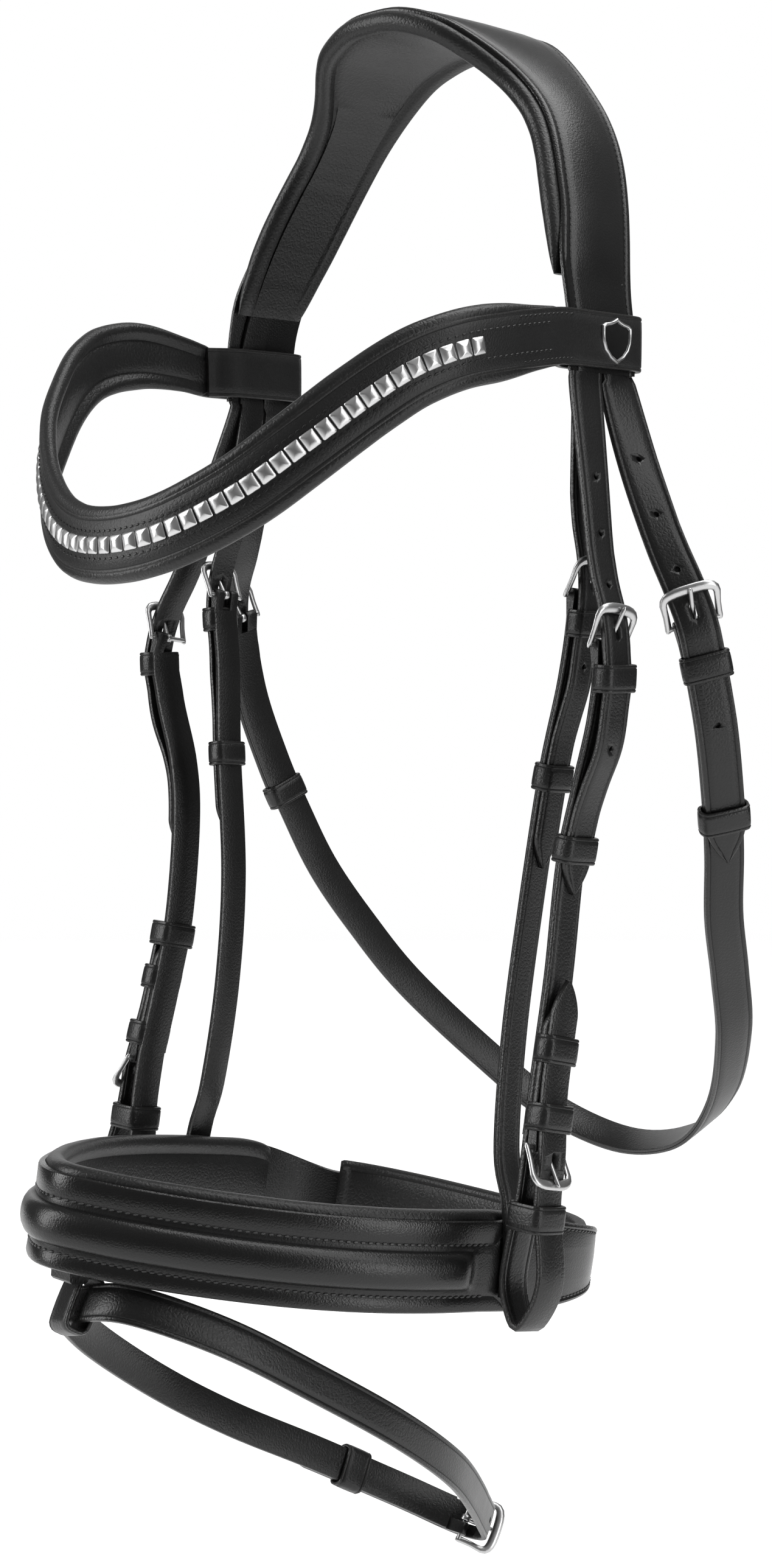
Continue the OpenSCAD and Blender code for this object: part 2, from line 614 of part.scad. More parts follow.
module throat_billet(run) {
    color(LEATHER) difference() {
        strap(run, THROAT_ARC, 0, THROAT_BAR + THROAT_TIP, billet_t, throat_w, billet_offset(THROAT_BAR), 16, 19, 6);
        at(place(run, THROAT_ARC, THROAT_BAR)) tongue_slot();
        for (d = [-70, -46, -22, 42]) at(place(run, THROAT_ARC, THROAT_BAR + d)) punched_hole();
    }
}

module near_throat_billet() throat_billet(THROAT);
module far_throat_billet() far_side() throat_billet([THROAT[0], THROAT[1]]);

module throatlash_strap() {
    color(LEATHER) union() {
        strap(THROAT, THROAT_ARC, THROAT_BAR + WRAP_END, THROAT_END - THROAT_BAR - WRAP_END, strap_t, throat_w,
            [[0, 0]], 0, 0, 10);
        at(throat_place(THROAT_BAR)) bar_wrap(throat_w);
        at(far_throat_place(THROAT_BAR)) bar_wrap(throat_w);
    }
}

module throatlash_keepers() {
    color(LEATHER) {
        at(throat_place(THROAT_BAR + 18)) keeper(throat_w);
        at(far_throat_place(THROAT_BAR + 18)) keeper(throat_w);
    }
}

module near_throat_runner() color(LEATHER) at(throat_place(THROAT_BAR + 84)) runner(throat_w);
module far_throat_runner() color(LEATHER) at(far_throat_place(THROAT_BAR + 90)) runner(throat_w);
module near_throat_buckle() color(STEEL) at(throat_place(THROAT_BAR)) buckle_frame(throat_w);
module near_throat_tongue() color(STEEL) at(throat_place(THROAT_BAR)) buckle_tongue();
module far_throat_buckle() color(STEEL) at(far_throat_place(THROAT_BAR)) buckle_frame(throat_w);
module far_throat_tongue() color(STEEL) at(far_throat_place(THROAT_BAR)) buckle_tongue();

// ---- Flash strap: a closed run from its buckle along the far side, the tab and the near side ----
TAB = [0, -190, -510];
TAB_W = 16;
TAB_PLAY = 2.4;                 // room for the strap to lean in the tab
FLASH = [[[2, 30, -659], [-20, 8, -645], [-36, -30, -622], [-49, -68, -600], [-55, -104, -576],
    [-47, -146, -545], [-28, -175, -521], TAB, [28, -186, -505], [50, -156, -520], [62, -118, -545],
    [68, -80, -571], [62, -42, -599], [42, -6, -628], [20, 22, -651]], [-0.142, 0.565, 0.813], true];
FLASH_ARC = arc_table(FLASH);
FLASH_LOOP = total(FLASH_ARC);
FLASH_TIP = 96;
function flash_place(s) = place(FLASH, FLASH_ARC, s);

module flash_strap() {
    p = flash_place(0);
    color(LEATHER) difference() {
        union() {
            strap(FLASH, FLASH_ARC, WRAP_END, FLASH_LOOP + FLASH_TIP, billet_t, flash_w,
                [[FLASH_LOOP - 40, 0], [FLASH_LOOP - 12, BILLET_LIFT]], 14, 0, 7);
            at(p) bar_wrap(flash_w);
        }
        at(p) tongue_slot();
    }
}

module flash_keeper() color(LEATHER) at(flash_place(60)) keeper(flash_w, STACK_HIGH, 13);
module flash_buckle() color(STEEL) at(flash_place(0)) buckle_frame(flash_w);
module flash_tongue() color(STEEL) at(flash_place(0)) buckle_tongue();

// The tab is sewn in under the noseband's middle and the strap runs through its loop
module flash_tab() {
    foot = -nose_h - 4.6;
    color(LEATHER) union() {
        at(flash_place(length_at(FLASH_ARC, 7))) band(flash_w, -billet_t / 2, billet_t / 2, TAB_W, 2, TAB_PLAY);
        nose_frame() translate([-TAB_W / 2, -203, foot]) cube([TAB_W, 24, 2.2]);
        nose_frame() translate([-TAB_W / 2, -203, foot]) cube([TAB_W, 2.2, 6.6]);
    }
}

crown_leather();
crown_padding();
noseband_headstrap();
browband_leather();
browband_padding();
clincher_plates();
browband_badge();
near_cheek_billet();
near_cheek_strap();
near_cheek_keepers();
near_cheek_runner();
near_cheek_buckle();
near_cheek_tongue();
near_bit_buckle();
near_bit_tongue();
far_cheek_billet();
far_cheek_strap();
far_cheek_keepers();
far_cheek_runner();
far_cheek_buckle();
far_cheek_tongue();
far_bit_buckle();
far_bit_tongue();
noseband_leather();
noseband_padding();
chin_padding();
chin_buckle();
chin_tongue();
chin_keepers();
near_noseband_billet();
near_noseband_strap();
near_noseband_keeper();
near_noseband_runner();
near_noseband_buckle();
near_noseband_tongue();
far_noseband_billet();
far_noseband_strap();
far_noseband_keeper();
far_noseband_runner();
far_noseband_buckle();
far_noseband_tongue();
throatlash_strap();
near_throat_billet();
far_throat_billet();
throatlash_keepers();
near_throat_runner();
far_throat_runner();
near_throat_buckle();
near_throat_tongue();
far_throat_buckle();
far_throat_tongue();
flash_tab();
flash_strap();
flash_keeper();
flash_buckle();
flash_tongue();
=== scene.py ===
"""Looks of the snaffle bridle. Lengths are in millimetres until a mesh is made."""

import math
import random
from bisect import bisect_right

import bmesh
import bpy
from mathutils import Matrix, Vector, noise

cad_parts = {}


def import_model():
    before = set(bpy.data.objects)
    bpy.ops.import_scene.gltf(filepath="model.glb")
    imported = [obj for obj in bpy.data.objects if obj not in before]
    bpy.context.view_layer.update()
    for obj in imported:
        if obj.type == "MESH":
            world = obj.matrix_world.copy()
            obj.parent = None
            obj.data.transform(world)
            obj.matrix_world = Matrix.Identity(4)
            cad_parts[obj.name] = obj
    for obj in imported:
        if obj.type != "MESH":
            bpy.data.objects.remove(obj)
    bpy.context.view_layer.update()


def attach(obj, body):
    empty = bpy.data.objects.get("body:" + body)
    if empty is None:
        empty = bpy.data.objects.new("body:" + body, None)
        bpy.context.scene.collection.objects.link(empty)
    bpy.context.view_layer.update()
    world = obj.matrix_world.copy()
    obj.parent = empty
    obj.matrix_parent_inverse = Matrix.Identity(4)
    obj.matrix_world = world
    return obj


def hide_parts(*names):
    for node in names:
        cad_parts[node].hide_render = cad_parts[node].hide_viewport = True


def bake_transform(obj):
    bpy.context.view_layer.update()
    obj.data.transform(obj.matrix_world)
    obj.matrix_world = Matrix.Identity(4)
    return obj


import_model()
MM = 0.001
random.seed(7)

# ---- Measures shared with the CAD ----
CHEEK_W, THROAT_W, NOSE_STRAP_W, FLASH_W, CHIN_W = 15, 17, 13, 15, 16
STRAP_T, BILLET_T = 3.2, 2.6
BAR_R, WIRE_R, BUCKLE_L = 1.1, 1.3, 15
WRAP_R = BAR_R + 1.4
BILLET_LIFT = WRAP_R + 0.15 + BILLET_T / 2
RAIL_LIFT = BILLET_LIFT + BILLET_T / 2 + 0.2 + WIRE_R
FRAME_TILT = math.asin(RAIL_LIFT / BUCKLE_L)
TONGUE_TILT = FRAME_TILT + math.asin((WIRE_R + 1.05) / BUCKLE_L)
STACK_LOW = -STRAP_T / 2
Z = Vector((0, 0, 1))


def smooth(t):
    t = max(0.0, min(1.0, t))
    return t * t * (3 - 2 * t)


def table(pairs, ease=smooth):
    """Function of position that goes through (position, value) pairs and eases from each to the next."""

    def value(s):
        if s <= pairs[0][0]:
            return pairs[0][1]
        for (a, x), (b, y) in zip(pairs, pairs[1:]):
            if s <= b:
                return x + (y - x) * ease((s - a) / (b - a))
        return pairs[-1][1]

    return value


def straight(pairs):
    """The same with straight lines from each pair to the next."""
    return table(pairs, lambda t: t)


def easy(pairs):
    """Smooth curve through (position, value) pairs."""
    slopes = []
    for i in range(len(pairs)):
        a, b = pairs[max(0, i - 1)], pairs[min(len(pairs) - 1, i + 1)]
        slopes.append((b[1] - a[1]) / (b[0] - a[0]))

    def value(s):
        if s <= pairs[0][0]:
            return pairs[0][1]
        for i in range(len(pairs) - 1):
            (a, x), (b, y) = pairs[i], pairs[i + 1]
            if s <= b:
                d = b - a
                t = (s - a) / d
                return (x * (1 + 2 * t) * (1 - t) ** 2 + y * t * t * (3 - 2 * t)
                        + slopes[i] * d * t * (1 - t) ** 2 - slopes[i + 1] * d * t * t * (1 - t))
        return pairs[-1][1]

    return value


def arc(x, y, rx, ry, angles):
    """Points of an ellipse about (x, y) at angles in degrees."""
    return [(x + rx * math.cos(math.radians(q)), y + ry * math.sin(math.radians(q))) for q in angles]


class Place:
    """A point with the directions along a strap, across it and out of its face."""

    def __init__(self, origin, along, across, out):
        self.origin, self.along, self.across, self.out = origin, along, across, out

    def at(self, across=0.0, out=0.0, along=0.0):
        return self.origin + self.along * along + self.across * across + self.out * out

    def moved(self, across=0.0, out=0.0, along=0.0):
        return Place(self.at(across, out, along), self.along, self.across, self.out)

    def turned(self):
        """Half round about the outward direction."""
        return Place(self.origin, -self.along, -self.across, self.out)


class Run:
    """A smooth curve through points, with the direction across the strap that lies on it."""

    def __init__(self, points, across, closed=False, twist=None):
        self.points = [Vector(p) for p in points]
        self.ref = Vector(across)
        self.closed, self.twist = closed, twist
        self.spans = len(points) - (0 if closed else 1)
        self.table = [0.0]
        for k in range(1, self.spans * 8 + 1):
            self.table.append(self.table[-1] + (self.point(k / 8) - self.point((k - 1) / 8)).length)
        self.length = self.table[-1]

    def control(self, i):
        p = self.points
        if self.closed:
            return p[i % len(p)]
        if i < 0:
            return 2 * p[0] - p[1]
        if i >= len(p):
            return 2 * p[-1] - p[-2]
        return p[i]

    def point(self, u):
        i = math.floor(u)
        if not self.closed:
            i = max(0, min(i, self.spans - 1))
        a, b, c, d = (self.control(i + k) for k in (-1, 0, 1, 2))
        t = u - i
        return 0.5 * (2 * b + (c - a) * t + (2 * a - 5 * b + 4 * c - d) * t * t + (3 * b - a - 3 * c + d) * t ** 3)

    def length_at(self, i):
        return self.table[i * 8]

    def u_at(self, s):
        first = self.table[1] * 8
        if s < 0:
            return s / first
        if s >= self.length:
            return self.spans + (s - self.length) / first
        i = bisect_right(self.table, s) - 1
        return (i + (s - self.table[i]) / (self.table[i + 1] - self.table[i])) / 8

    def place(self, s):
        if self.closed:
            s %= self.length
        u = self.u_at(s)
        along = (self.point(u + 0.02) - self.point(u - 0.02)).normalized()
        out = along.cross(self.ref).normalized()
        if self.twist:
            a = math.radians(self.twist(s))
            out = out * math.cos(a) + out.cross(along) * math.sin(a)
        return Place(self.point(u), along, out.cross(along), out)


def add(name, data):
    """New object in the scene."""
    o = bpy.data.objects.new(name, data)
    bpy.context.scene.collection.objects.link(o)
    return o


# ---- Mesh building ----
class Shape:
    """Vertices, faces and marks of one piece, gathered in millimetres. The marks say where the leather is painted
    lighter, as wear and partly as painted highlight, and where painted shade darkens its grooves.
    """

    def __init__(self):
        self.verts, self.faces, self.slots, self.wear, self.groove = [], [], [], [], []

    def point(self, co, wear=0.0, groove=0.0):
        self.verts.append(Vector(co))
        self.wear.append(wear)
        self.groove.append(groove)
        return len(self.verts) - 1

    def face(self, corners, slot=0):
        self.faces.append(corners)
        self.slots.append(slot)

    def loft(self, rings, marks=None, slot=0, closed=False):
        """Skin over rings of equal length. marks holds each ring's (wear, groove) pairs."""
        n, m = len(rings[0]), len(rings)
        start = len(self.verts)
        for ring, pairs in zip(rings, marks or [[(0, 0)] * n] * m):
            for co, (wear, groove) in zip(ring, pairs):
                self.point(co, wear, groove)
        for i in range(m if closed else m - 1):
            a, b = start + i * n, start + (i + 1) % m * n
            for j in range(n):
                k = (j + 1) % n
                self.face([a + j, a + k, b + k, b + j], slot)
        if not closed:
            self.face([start + j for j in reversed(range(n))], slot)
            self.face([start + (m - 1) * n + j for j in range(n)], slot)

    def skin(self, placed):
        """Skin over (place, section, lift) rows, where a section is a list of (across, out, wear, groove)."""
        self.loft([[p.at(q[0], q[1] + lift) for q in section] for p, section, lift in placed],
                  [[q[2:] for q in section] for p, section, lift in placed])

    def tube(self, path, radius, sides=12, flat=1.0, up=None, slot=0, closed=False):
        """Round bar along a path. radius is a number or one for each point; flat scales it across."""
        rings = []
        last = len(path) - 1
        for i, p in enumerate(path):
            a = path[i - 1] if i or closed else path[i]
            b = path[(i + 1) % len(path)] if i < last or closed else path[i]
            t = (b - a).normalized()
            x = (up or Z).cross(t)
            x = (x if x.length > 1e-4 else Vector((1, 0, 0)).cross(t)).normalized()
            y = t.cross(x)
            r = radius[i] if isinstance(radius, (list, tuple)) else radius
            rings.append([p + (x * math.cos(q) + y * math.sin(q) * flat) * r
                          for q in (2 * math.pi * j / sides for j in range(sides))])
        self.loft(rings, slot=slot, closed=closed)

    def mirrored(self):
        other = Shape()
        other.verts = [Vector((-v.x, v.y, v.z)) for v in self.verts]
        other.faces = [list(reversed(f)) for f in self.faces]
        other.slots, other.wear, other.groove = list(self.slots), list(self.wear), list(self.groove)
        return other

    def make(self, name, materials, sharp=38):
        mesh = bpy.data.meshes.new(name)
        mesh.from_pydata([v * MM for v in self.verts], [], self.faces)
        for mark, values in (("wear", self.wear), ("groove", self.groove)):
            mesh.attributes.new(mark, "FLOAT", "POINT").data.foreach_set("value", values)
        for m in materials:
            mesh.materials.append(m)
        mesh.polygons.foreach_set("material_index", self.slots)
        tidy = bmesh.new()
        tidy.from_mesh(mesh)
        bmesh.ops.recalc_face_normals(tidy, faces=tidy.faces)
        tidy.to_mesh(mesh)
        tidy.free()
        mesh.polygons.foreach_set("use_smooth", [True] * len(mesh.polygons))
        mesh.set_sharp_from_angle(angle=math.radians(sharp))
        return add(name, mesh)


def stations(s0, s1, step, fine=0.0):
    """Lengths from s0 to s1, with short steps over the last fine millimetres."""
    plain = s1 - fine
    count = max(1, round((plain - s0) / step))
    out = [s0 + (plain - s0) * k / count for k in range(count + 1)]
    if fine:
        count = max(6, round(fine / 0.9))
        out += [plain + fine * math.sin(math.pi / 2 * k / count) for k in range(1, count + 1)]
    return out


def strap_section(w, t, crease=1.9, dome=0.12, layers=1):
    """(across, out, wear, groove) round a flat strap: bevelled edges, a creased line inside each edge. The bevels are
    marked to be painted lighter, as wear and partly as painted highlight; the creases are marked for painted shade.
    """
    h = w / 2
    b = min(0.62, h * 0.35)
    c = min(crease, h * 0.45)
    g = min(0.42, c * 0.25)
    side = [(h - b, -t / 2, 0.4, 0), (h - b * 0.3, -t / 2 + b * 0.3, 0.9, 0), (h, -t / 2 + b, 0.6, 0)]
    if layers == 2:
        side += [(h, -0.2, 0.3, 0), (h - 0.22, -0.03, 0, 1), (h, 0.14, 0.3, 0)]
    side += [(h, t / 2 - b, 0.7, 0), (h - b * 0.3, t / 2 - b * 0.3, 1, 0), (h - b, t / 2, 0.7, 0),
             (h - c + g, t / 2 + 0.02, 0.1, 0.1), (h - c, t / 2 - 0.26 * min(1, c), 0, 1),
             (h - c - g, t / 2 + 0.02, 0.05, 0.1), (h - c - (h - c) * 0.45, t / 2 + dome, 0, 0)]
    return [(0, -t / 2, 0, 0)] + side + [(0, t / 2 + dome * 1.2, 0, 0)] + [
        (-a, o, x, y) for a, o, x, y in reversed(side)]


def tip_shape(s, s1, tip):
    """Share of the full width near a pointed end."""
    if tip <= 0 or s <= s1 - tip:
        return 1.0
    d = max(0.0, (s1 - s) / tip)
    return max(0.06, (1 - (1 - d) ** 1.55) ** 0.86)


def sweep_strap(shape, spot, s0, s1, width, thick, lift=0.0, tip=0.0, step=3.5, layers=1, crease=1.9):
    """Strap from s0 to s1 along spot(s). width and lift may be functions of s."""
    placed = []
    for s in stations(s0, s1, step, tip):
        w = (width(s) if callable(width) else width) * tip_shape(s, s1, tip)
        placed.append((spot(s), strap_section(w, thick, crease, layers=layers), lift(s) if callable(lift) else lift))
    shape.skin(placed)


def stitch_row(shape, spot, s0, s1, pitch=2.9, size=2.1, r=0.34, slot=1, slant=0.16):
    """Row of sewn stitches; spot(s) is on the surface."""
    count = max(1, round((s1 - s0) / pitch))
    for k in range(count):
        p = spot(s0 + (k + 0.5) * (s1 - s0) / count)
        x = (p.along + p.across * slant).normalized()
        y = p.out.cross(x)
        start = len(shape.verts)
        shape.point(p.origin - x * size * 0.5 - p.out * 0.22)
        for f, k2 in ((-0.3, 0.85), (0, 1.0), (0.3, 0.85)):
            for j in range(6):
                q = math.pi * j / 3
                shape.point(p.origin + x * size * f + (y * math.cos(q) + p.out * math.sin(q) * 0.8) * r * k2)
        end = shape.point(p.origin + x * size * 0.5 - p.out * 0.22)
        for j in range(6):
            k3 = (j + 1) % 6
            shape.face([start, start + 1 + k3, start + 1 + j], slot)
            for ring in (1, 7):
                shape.face([start + ring + j, start + ring + k3, start + ring + 6 + k3, start + ring + 6 + j], slot)
            shape.face([start + 13 + j, start + 13 + k3, end], slot)


def band(shape, p, w, low, high, length=11.0, wall=1.6, play=0.35, corner=2.3):
    """Leather band round a stack that reaches from low to high over the place p."""
    hy = w / 2 + play + wall / 2
    z0, z1 = low - play - wall / 2, high + play + wall / 2
    outline = []
    for cy, cz, start in ((hy - corner, z1 - corner, 0), (corner - hy, z1 - corner, 90),
                          (corner - hy, z0 + corner, 180), (hy - corner, z0 + corner, 270)):
        for k in range(5):
            q = math.radians(start + 22.5 * k)
            outline.append((cy + corner * math.cos(q), cz + corner * math.sin(q), math.cos(q), math.sin(q)))
    full = []
    for i, a in enumerate(outline):
        b = outline[(i + 1) % len(outline)]
        full.append(a)
        gap = math.hypot(b[0] - a[0], b[1] - a[1])
        if gap > 3:
            for k in range(1, 4):
                bow = 0.3 * math.sin(math.pi * k / 4)
                full.append((a[0] + (b[0] - a[0]) * k / 4 + a[2] * bow, a[1] + (b[1] - a[1]) * k / 4 + a[3] * bow,
                             a[2], a[3]))
    section = strap_section(length, wall - 0.1, 1.4, 0.1)
    rings = [[p.at(y + ny * q[1], z + nz * q[1], q[0]) for q in section] for y, z, ny, nz in full]
    shape.loft(rings, [[q[2:] for q in section]] * len(rings), closed=True)


def cut(piece, cutters):
    """Cuts the cutter shape out of the piece, for real holes."""
    tool = cutters.make("cutter", [])
    tool.data.materials.clear()
    change = piece.modifiers.new("holes", "BOOLEAN")
    change.operation, change.object, change.solver = "DIFFERENCE", tool, "EXACT"
    graph = bpy.context.evaluated_depsgraph_get()
    mesh = bpy.data.meshes.new_from_object(piece.evaluated_get(graph))
    piece.modifiers.clear()
    piece.data = mesh
    bpy.data.objects.remove(tool)


def hole(cutters, p, r=1.25, depth=5.0):
    cutters.tube([p.at(out=-depth), p.at(out=depth)], r, 14, up=p.across)


def slot_hole(cutters, p, x0=-8.2, x1=-1.2, r=1.35, low=1.6, high=9.0):
    """Long hole with round ends that a tongue passes through."""
    ring = arc(x1 - r, 0, r, r, range(-90, 91, 30)) + arc(x0 + r, 0, r, r, range(90, 271, 30))
    cutters.loft([[p.at(y, z, x) for x, y in ring] for z in (low, high)])


# ---- Materials ----
def feed(tree, n, inputs):
    """Links or sets each input of a node."""
    for key, v in inputs.items():
        if isinstance(v, bpy.types.NodeSocket):
            tree.links.new(v, n.inputs[key])
        else:
            n.inputs[key].default_value = v


def node(tree, kind, inputs=(), **settings):
    n = tree.nodes.new(kind)
    for k, v in settings.items():
        setattr(n, k, v)
    feed(tree, n, dict(inputs))
    return n


def material(name):
    """New material with its node tree, its shader and its object coordinates."""
    m = bpy.data.materials.new(name)
    m.use_nodes = True
    tree = m.node_tree
    tree.nodes.clear()
    out = tree.nodes.new("ShaderNodeOutputMaterial")
    shader = tree.nodes.new("ShaderNodeBsdfPrincipled")
    tree.links.new(shader.outputs[0], out.inputs[0])
    return m, tree, shader, node(tree, "ShaderNodeTexCoord").outputs["Object"]


def noisy(tree, where, scale, detail=2.0, **more):
    inputs = {"Vector": where, "Scale": scale, "Detail": detail, **more}
    return node(tree, "ShaderNodeTexNoise", inputs).outputs["Fac"]


def mark(tree, name):
    """What the mesh says of one kind of mark."""
    return node(tree, "ShaderNodeAttribute", attribute_name=name).outputs["Fac"]


def maths(tree, operation, a, b=0.0, clamp=False):
    return node(tree, "ShaderNodeMath", {0: a, 1: b}, operation=operation, use_clamp=clamp).outputs[0]


def times(tree, a, b, clamp=False):
    return maths(tree, "MULTIPLY", a, b, clamp)


def plus(tree, a, b, clamp=False):
    return maths(tree, "ADD", a, b, clamp)


def mix_colour(tree, factor, a, b):
    return node(tree, "ShaderNodeMix", {0: factor, 6: a, 7: b}, data_type="RGBA", blend_type="MIX").outputs[2]


def bumps(tree, strength, distance, height):
    return node(tree, "ShaderNodeBump", {"Strength": strength, "Distance": distance, "Height": height}).outputs[0]


def grey(v, warm=0.0):
    return (v * (1 + warm), v, v * (1 - warm), 1)


def leather(name, base, rough, grain=620.0, depth=0.22, wrinkle=0.0, sheen=0.0):
    """Dyed leather: pebbled grain with pores, cloudy tone, polished edges painted lighter as wear and partly as
    painted highlight, and painted shade in the creases.
    """
    m, t, shader, where = material(name)
    cells = node(t, "ShaderNodeTexVoronoi", {"Vector": where, "Scale": grain, "Randomness": 1.0},
                 feature="DISTANCE_TO_EDGE").outputs["Distance"]
    pebble = node(t, "ShaderNodeMapRange", {"Value": cells, "From Min": 0.0, "From Max": 0.28}).outputs[0]
    fine = noisy(t, where, grain * 2.6, 4.0)
    cloud = noisy(t, where, 38.0, 5.0)
    folds = noisy(t, where, 95.0, 3.0, Distortion=1.4)
    wear, groove = mark(t, "wear"), mark(t, "groove")
    tone = mix_colour(t, cloud, grey(base * 0.78, 0.02), grey(base * 1.25, 0.02))
    tone = mix_colour(t, times(t, pebble, 0.22), grey(base * 0.55), tone)
    # painted highlight and wear: marked bevels and crests are painted lighter
    rubbed_and_highlit = times(t, times(t, wear, plus(t, cloud, 0.25)), 0.3, True)
    tone = mix_colour(t, rubbed_and_highlit, tone, grey(base * 3.2, 0.04))
    # painted shade: marked creases, seams and roll feet are painted darker
    tone = mix_colour(t, times(t, groove, 0.8, True), tone, grey(base * 0.25))
    gloss = plus(t, times(t, cloud, 0.16), rough - 0.08)
    gloss = maths(t, "SUBTRACT", gloss, times(t, wear, 0.08))
    height = plus(t, times(t, pebble, 0.6), times(t, fine, 0.55))
    height = plus(t, height, times(t, folds, wrinkle))
    feed(t, shader, {"Base Color": tone, "Roughness": plus(t, gloss, times(t, groove, 0.2), True),
                     "Specular IOR Level": 0.42, "Sheen Weight": sheen, "Sheen Roughness": 0.5,
                     "Normal": bumps(t, depth, 0.0004, height)})
    return m


def thread_material(name, low, high):
    """Waxed thread with twisted strands."""
    m, t, shader, where = material(name)
    strands = noisy(t, where, 2600.0)
    feed(t, shader, {"Base Color": mix_colour(t, strands, grey(low), grey(high)), "Roughness": 0.38,
                     "Normal": bumps(t, 0.5, 0.0002, strands)})
    return m


def metal(name, tone, rough, ripple=0.05):
    """Polished plated metal with faint handling marks, and painted shade where the mesh marks a groove."""
    m, t, shader, where = material(name)
    smudge = noisy(t, where, 260.0, 5.0)
    drawn = node(t, "ShaderNodeMapping", {"Vector": where, "Scale": (900, 900, 90)}).outputs[0]
    base = mix_colour(t, smudge, grey(tone * 0.93, 0.004), grey(tone * 1.03, -0.004))
    # painted shade: darker where the mesh marks a groove
    base = mix_colour(t, times(t, mark(t, "groove"), 0.85, True), base, grey(0.12))
    feed(t, shader, {"Base Color": base, "Metallic": 1.0,
                     "Roughness": plus(t, times(t, smudge, 0.12), rough - 0.04, True),
                     "Normal": bumps(t, ripple, 0.0002, noisy(t, drawn, 1.0, 3.0))})
    return m


STRAP = leather("strap_leather", 0.009, 0.36)
FACE = leather("smooth_leather", 0.007, 0.30, 760, 0.16)
BROWBAND = leather("browband_leather", 0.012, 0.43, 700, 0.22)
PAD = leather("padding_leather", 0.011, 0.40, 520, 0.3, 0.8, 0.03)
# painted glint: this thread is a lighter copy of the dark thread, so that its stitches show glints
THREAD = thread_material("waxed_thread", 0.02, 0.06)
DARK_THREAD = thread_material("dark_thread", 0.002, 0.006)
NICKEL = metal("polished_nickel", 0.52, 0.28)
PLATE = metal("clincher_metal", 0.6, 0.3)
ENAMEL = leather("dark_enamel", 0.012, 0.18, 300, 0.04)


def keep(shape, name, body, nodes, slot="leather", materials=(STRAP,), blend=None, cutters=None, pad=None):
    """Makes a piece and lets it stand for its CAD nodes. Without blend it rides on its body; with blend it is left
    fixed where it is. blend is (body, start, end), of which only whether it is given is read.
    """
    piece = shape.make(name, materials)
    if cutters and cutters.verts:
        cut(piece, cutters)
    if blend:
        [x * MM for x in blend[1]]
        [x * MM for x in blend[2]]
        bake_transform(piece)
    else:
        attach(piece, body)
    if nodes:
        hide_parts(*nodes)
    return piece


def both(shape, name, body, nodes, slot="leather", materials=(STRAP,), blend=None, cutters=None):
    """The near piece and its mirror image on the far side. body and nodes hold a {} for the side."""
    for side in ("near", "far"):
        far = side == "far"
        b = blend and (blend[0], *(((-p[0], p[1], p[2]) if far else p) for p in blend[1:]))
        c = cutters and (cutters.mirrored() if far else cutters)
        keep(shape.mirrored() if far else shape, name.format(side), body.format(side),
             [n.format(side) for n in nodes], slot, materials, b, c)


# ---- Buckles ----
def buckle_shape(p, w):
    """Horseshoe frame on its bar, broad at the outer rail; it reaches back over the billet."""
    shape = Shape()
    side = w / 2 + 0.9 + WIRE_R + 0.15
    tilt = Matrix.Rotation(FRAME_TILT, 3, "Y")

    def spot(x, y, z=0.0):
        v = tilt @ Vector((x, y, z))
        return p.at(v.y, v.z, v.x)

    half = [(1.5, side - 0.1, 0.7), (1.2, side, 1.15), (0, side, 1.45), (-2.5, side, 1.4), (-6, side + 0.1, 1.35),
            (-9, side + 0.4, 1.4), (-11.2, side + 0.55, 1.55), (-12.9, side + 0.1, 1.75), (-14.1, side - 1.1, 1.95),
            (-14.8, side - 2.8, 2.1), (-15.2, side - 5, 2.2), (-15.35, side - 7.5, 2.2)]
    path = half + [(-15.4, 0, 2.2)] + [(x, -y, r) for x, y, r in reversed(half)]
    up = p.out * math.cos(FRAME_TILT) + p.along * math.sin(FRAME_TILT)
    shape.tube([spot(x, y) for x, y, r in path], [r for x, y, r in path], 16, 0.62, up)
    shape.tube([spot(0, y) for y in (-side, -side / 2, 0, side / 2, side)], BAR_R, 12)
    return shape


def tongue_shape(p):
    """Tongue with its eye round the bar, resting on the frame."""
    shape = Shape()
    c, s = math.cos(TONGUE_TILT), math.sin(TONGUE_TILT)

    def spot(x, y, z):
        return p.at(y, x * s + z * c, -x * c + z * s)

    eye = [(2.05, 1.1), (2.2, 0.9), (2.2, -0.9), (2.05, -1.1), (1.3, -1.45), (1.16, -1.2), (1.16, 1.2), (1.3, 1.45)]
    rings = [[p.at(y * 1.05, r * math.sin(q), r * math.cos(q)) for r, y in eye]
             for q in (2 * math.pi * k / 20 for k in range(20))]
    shape.loft(rings, closed=True)
    rod = [(1.7, 0.15, 1.15), (3.5, 0.1, 1.2), (7, 0.05, 1.12), (11, 0, 1.02), (14.5, -0.05, 0.98), (16.2, 0, 0.9),
           (16.9, 0.02, 0.72), (17.25, 0.03, 0.35)]
    shape.tube([spot(x, 0, z) for x, z, r in rod], [r for x, z, r in rod], 12, 0.9, up=p.across.cross(p.along))
    return shape


def bar_fold(shape, p, w, reach=9.0, low=-1.6, high=1.6, gap=2.05):
    """Strap end folded round a bar, in two halves with the tongue's eye between them."""
    outline = [(reach, low)] + arc(0, 0, -WRAP_R, WRAP_R, range(-75, 76, 15)) + [(reach, high)]
    for y0, y1 in ((-w / 2, -gap), (gap, w / 2)):
        shape.loft([[p.at(y, z * k, x if x > 3 else x * k) for x, z in outline]
                    for y, k in ((y0, 0.9), (y0 + 0.35, 1), (y1 - 0.35, 1), (y1, 0.9))])


def buckle(p, w, body, kind, make=keep):
    """Frame on its body and tongue on its own. kind begins the names of the CAD's nodes and of the tongue's body."""
    make(buckle_shape(p, w), kind + "_buckle_frame", body, [kind + "_buckle"], "steel", [NICKEL])
    make(tongue_shape(p), kind + "_tongue_pin", kind + "_tongue", [kind + "_tongue"], "steel", [NICKEL])


# ---- Crown ----
def mirrored(points):
    return [(-x, y, z) for x, y, z in reversed(points[1:])]


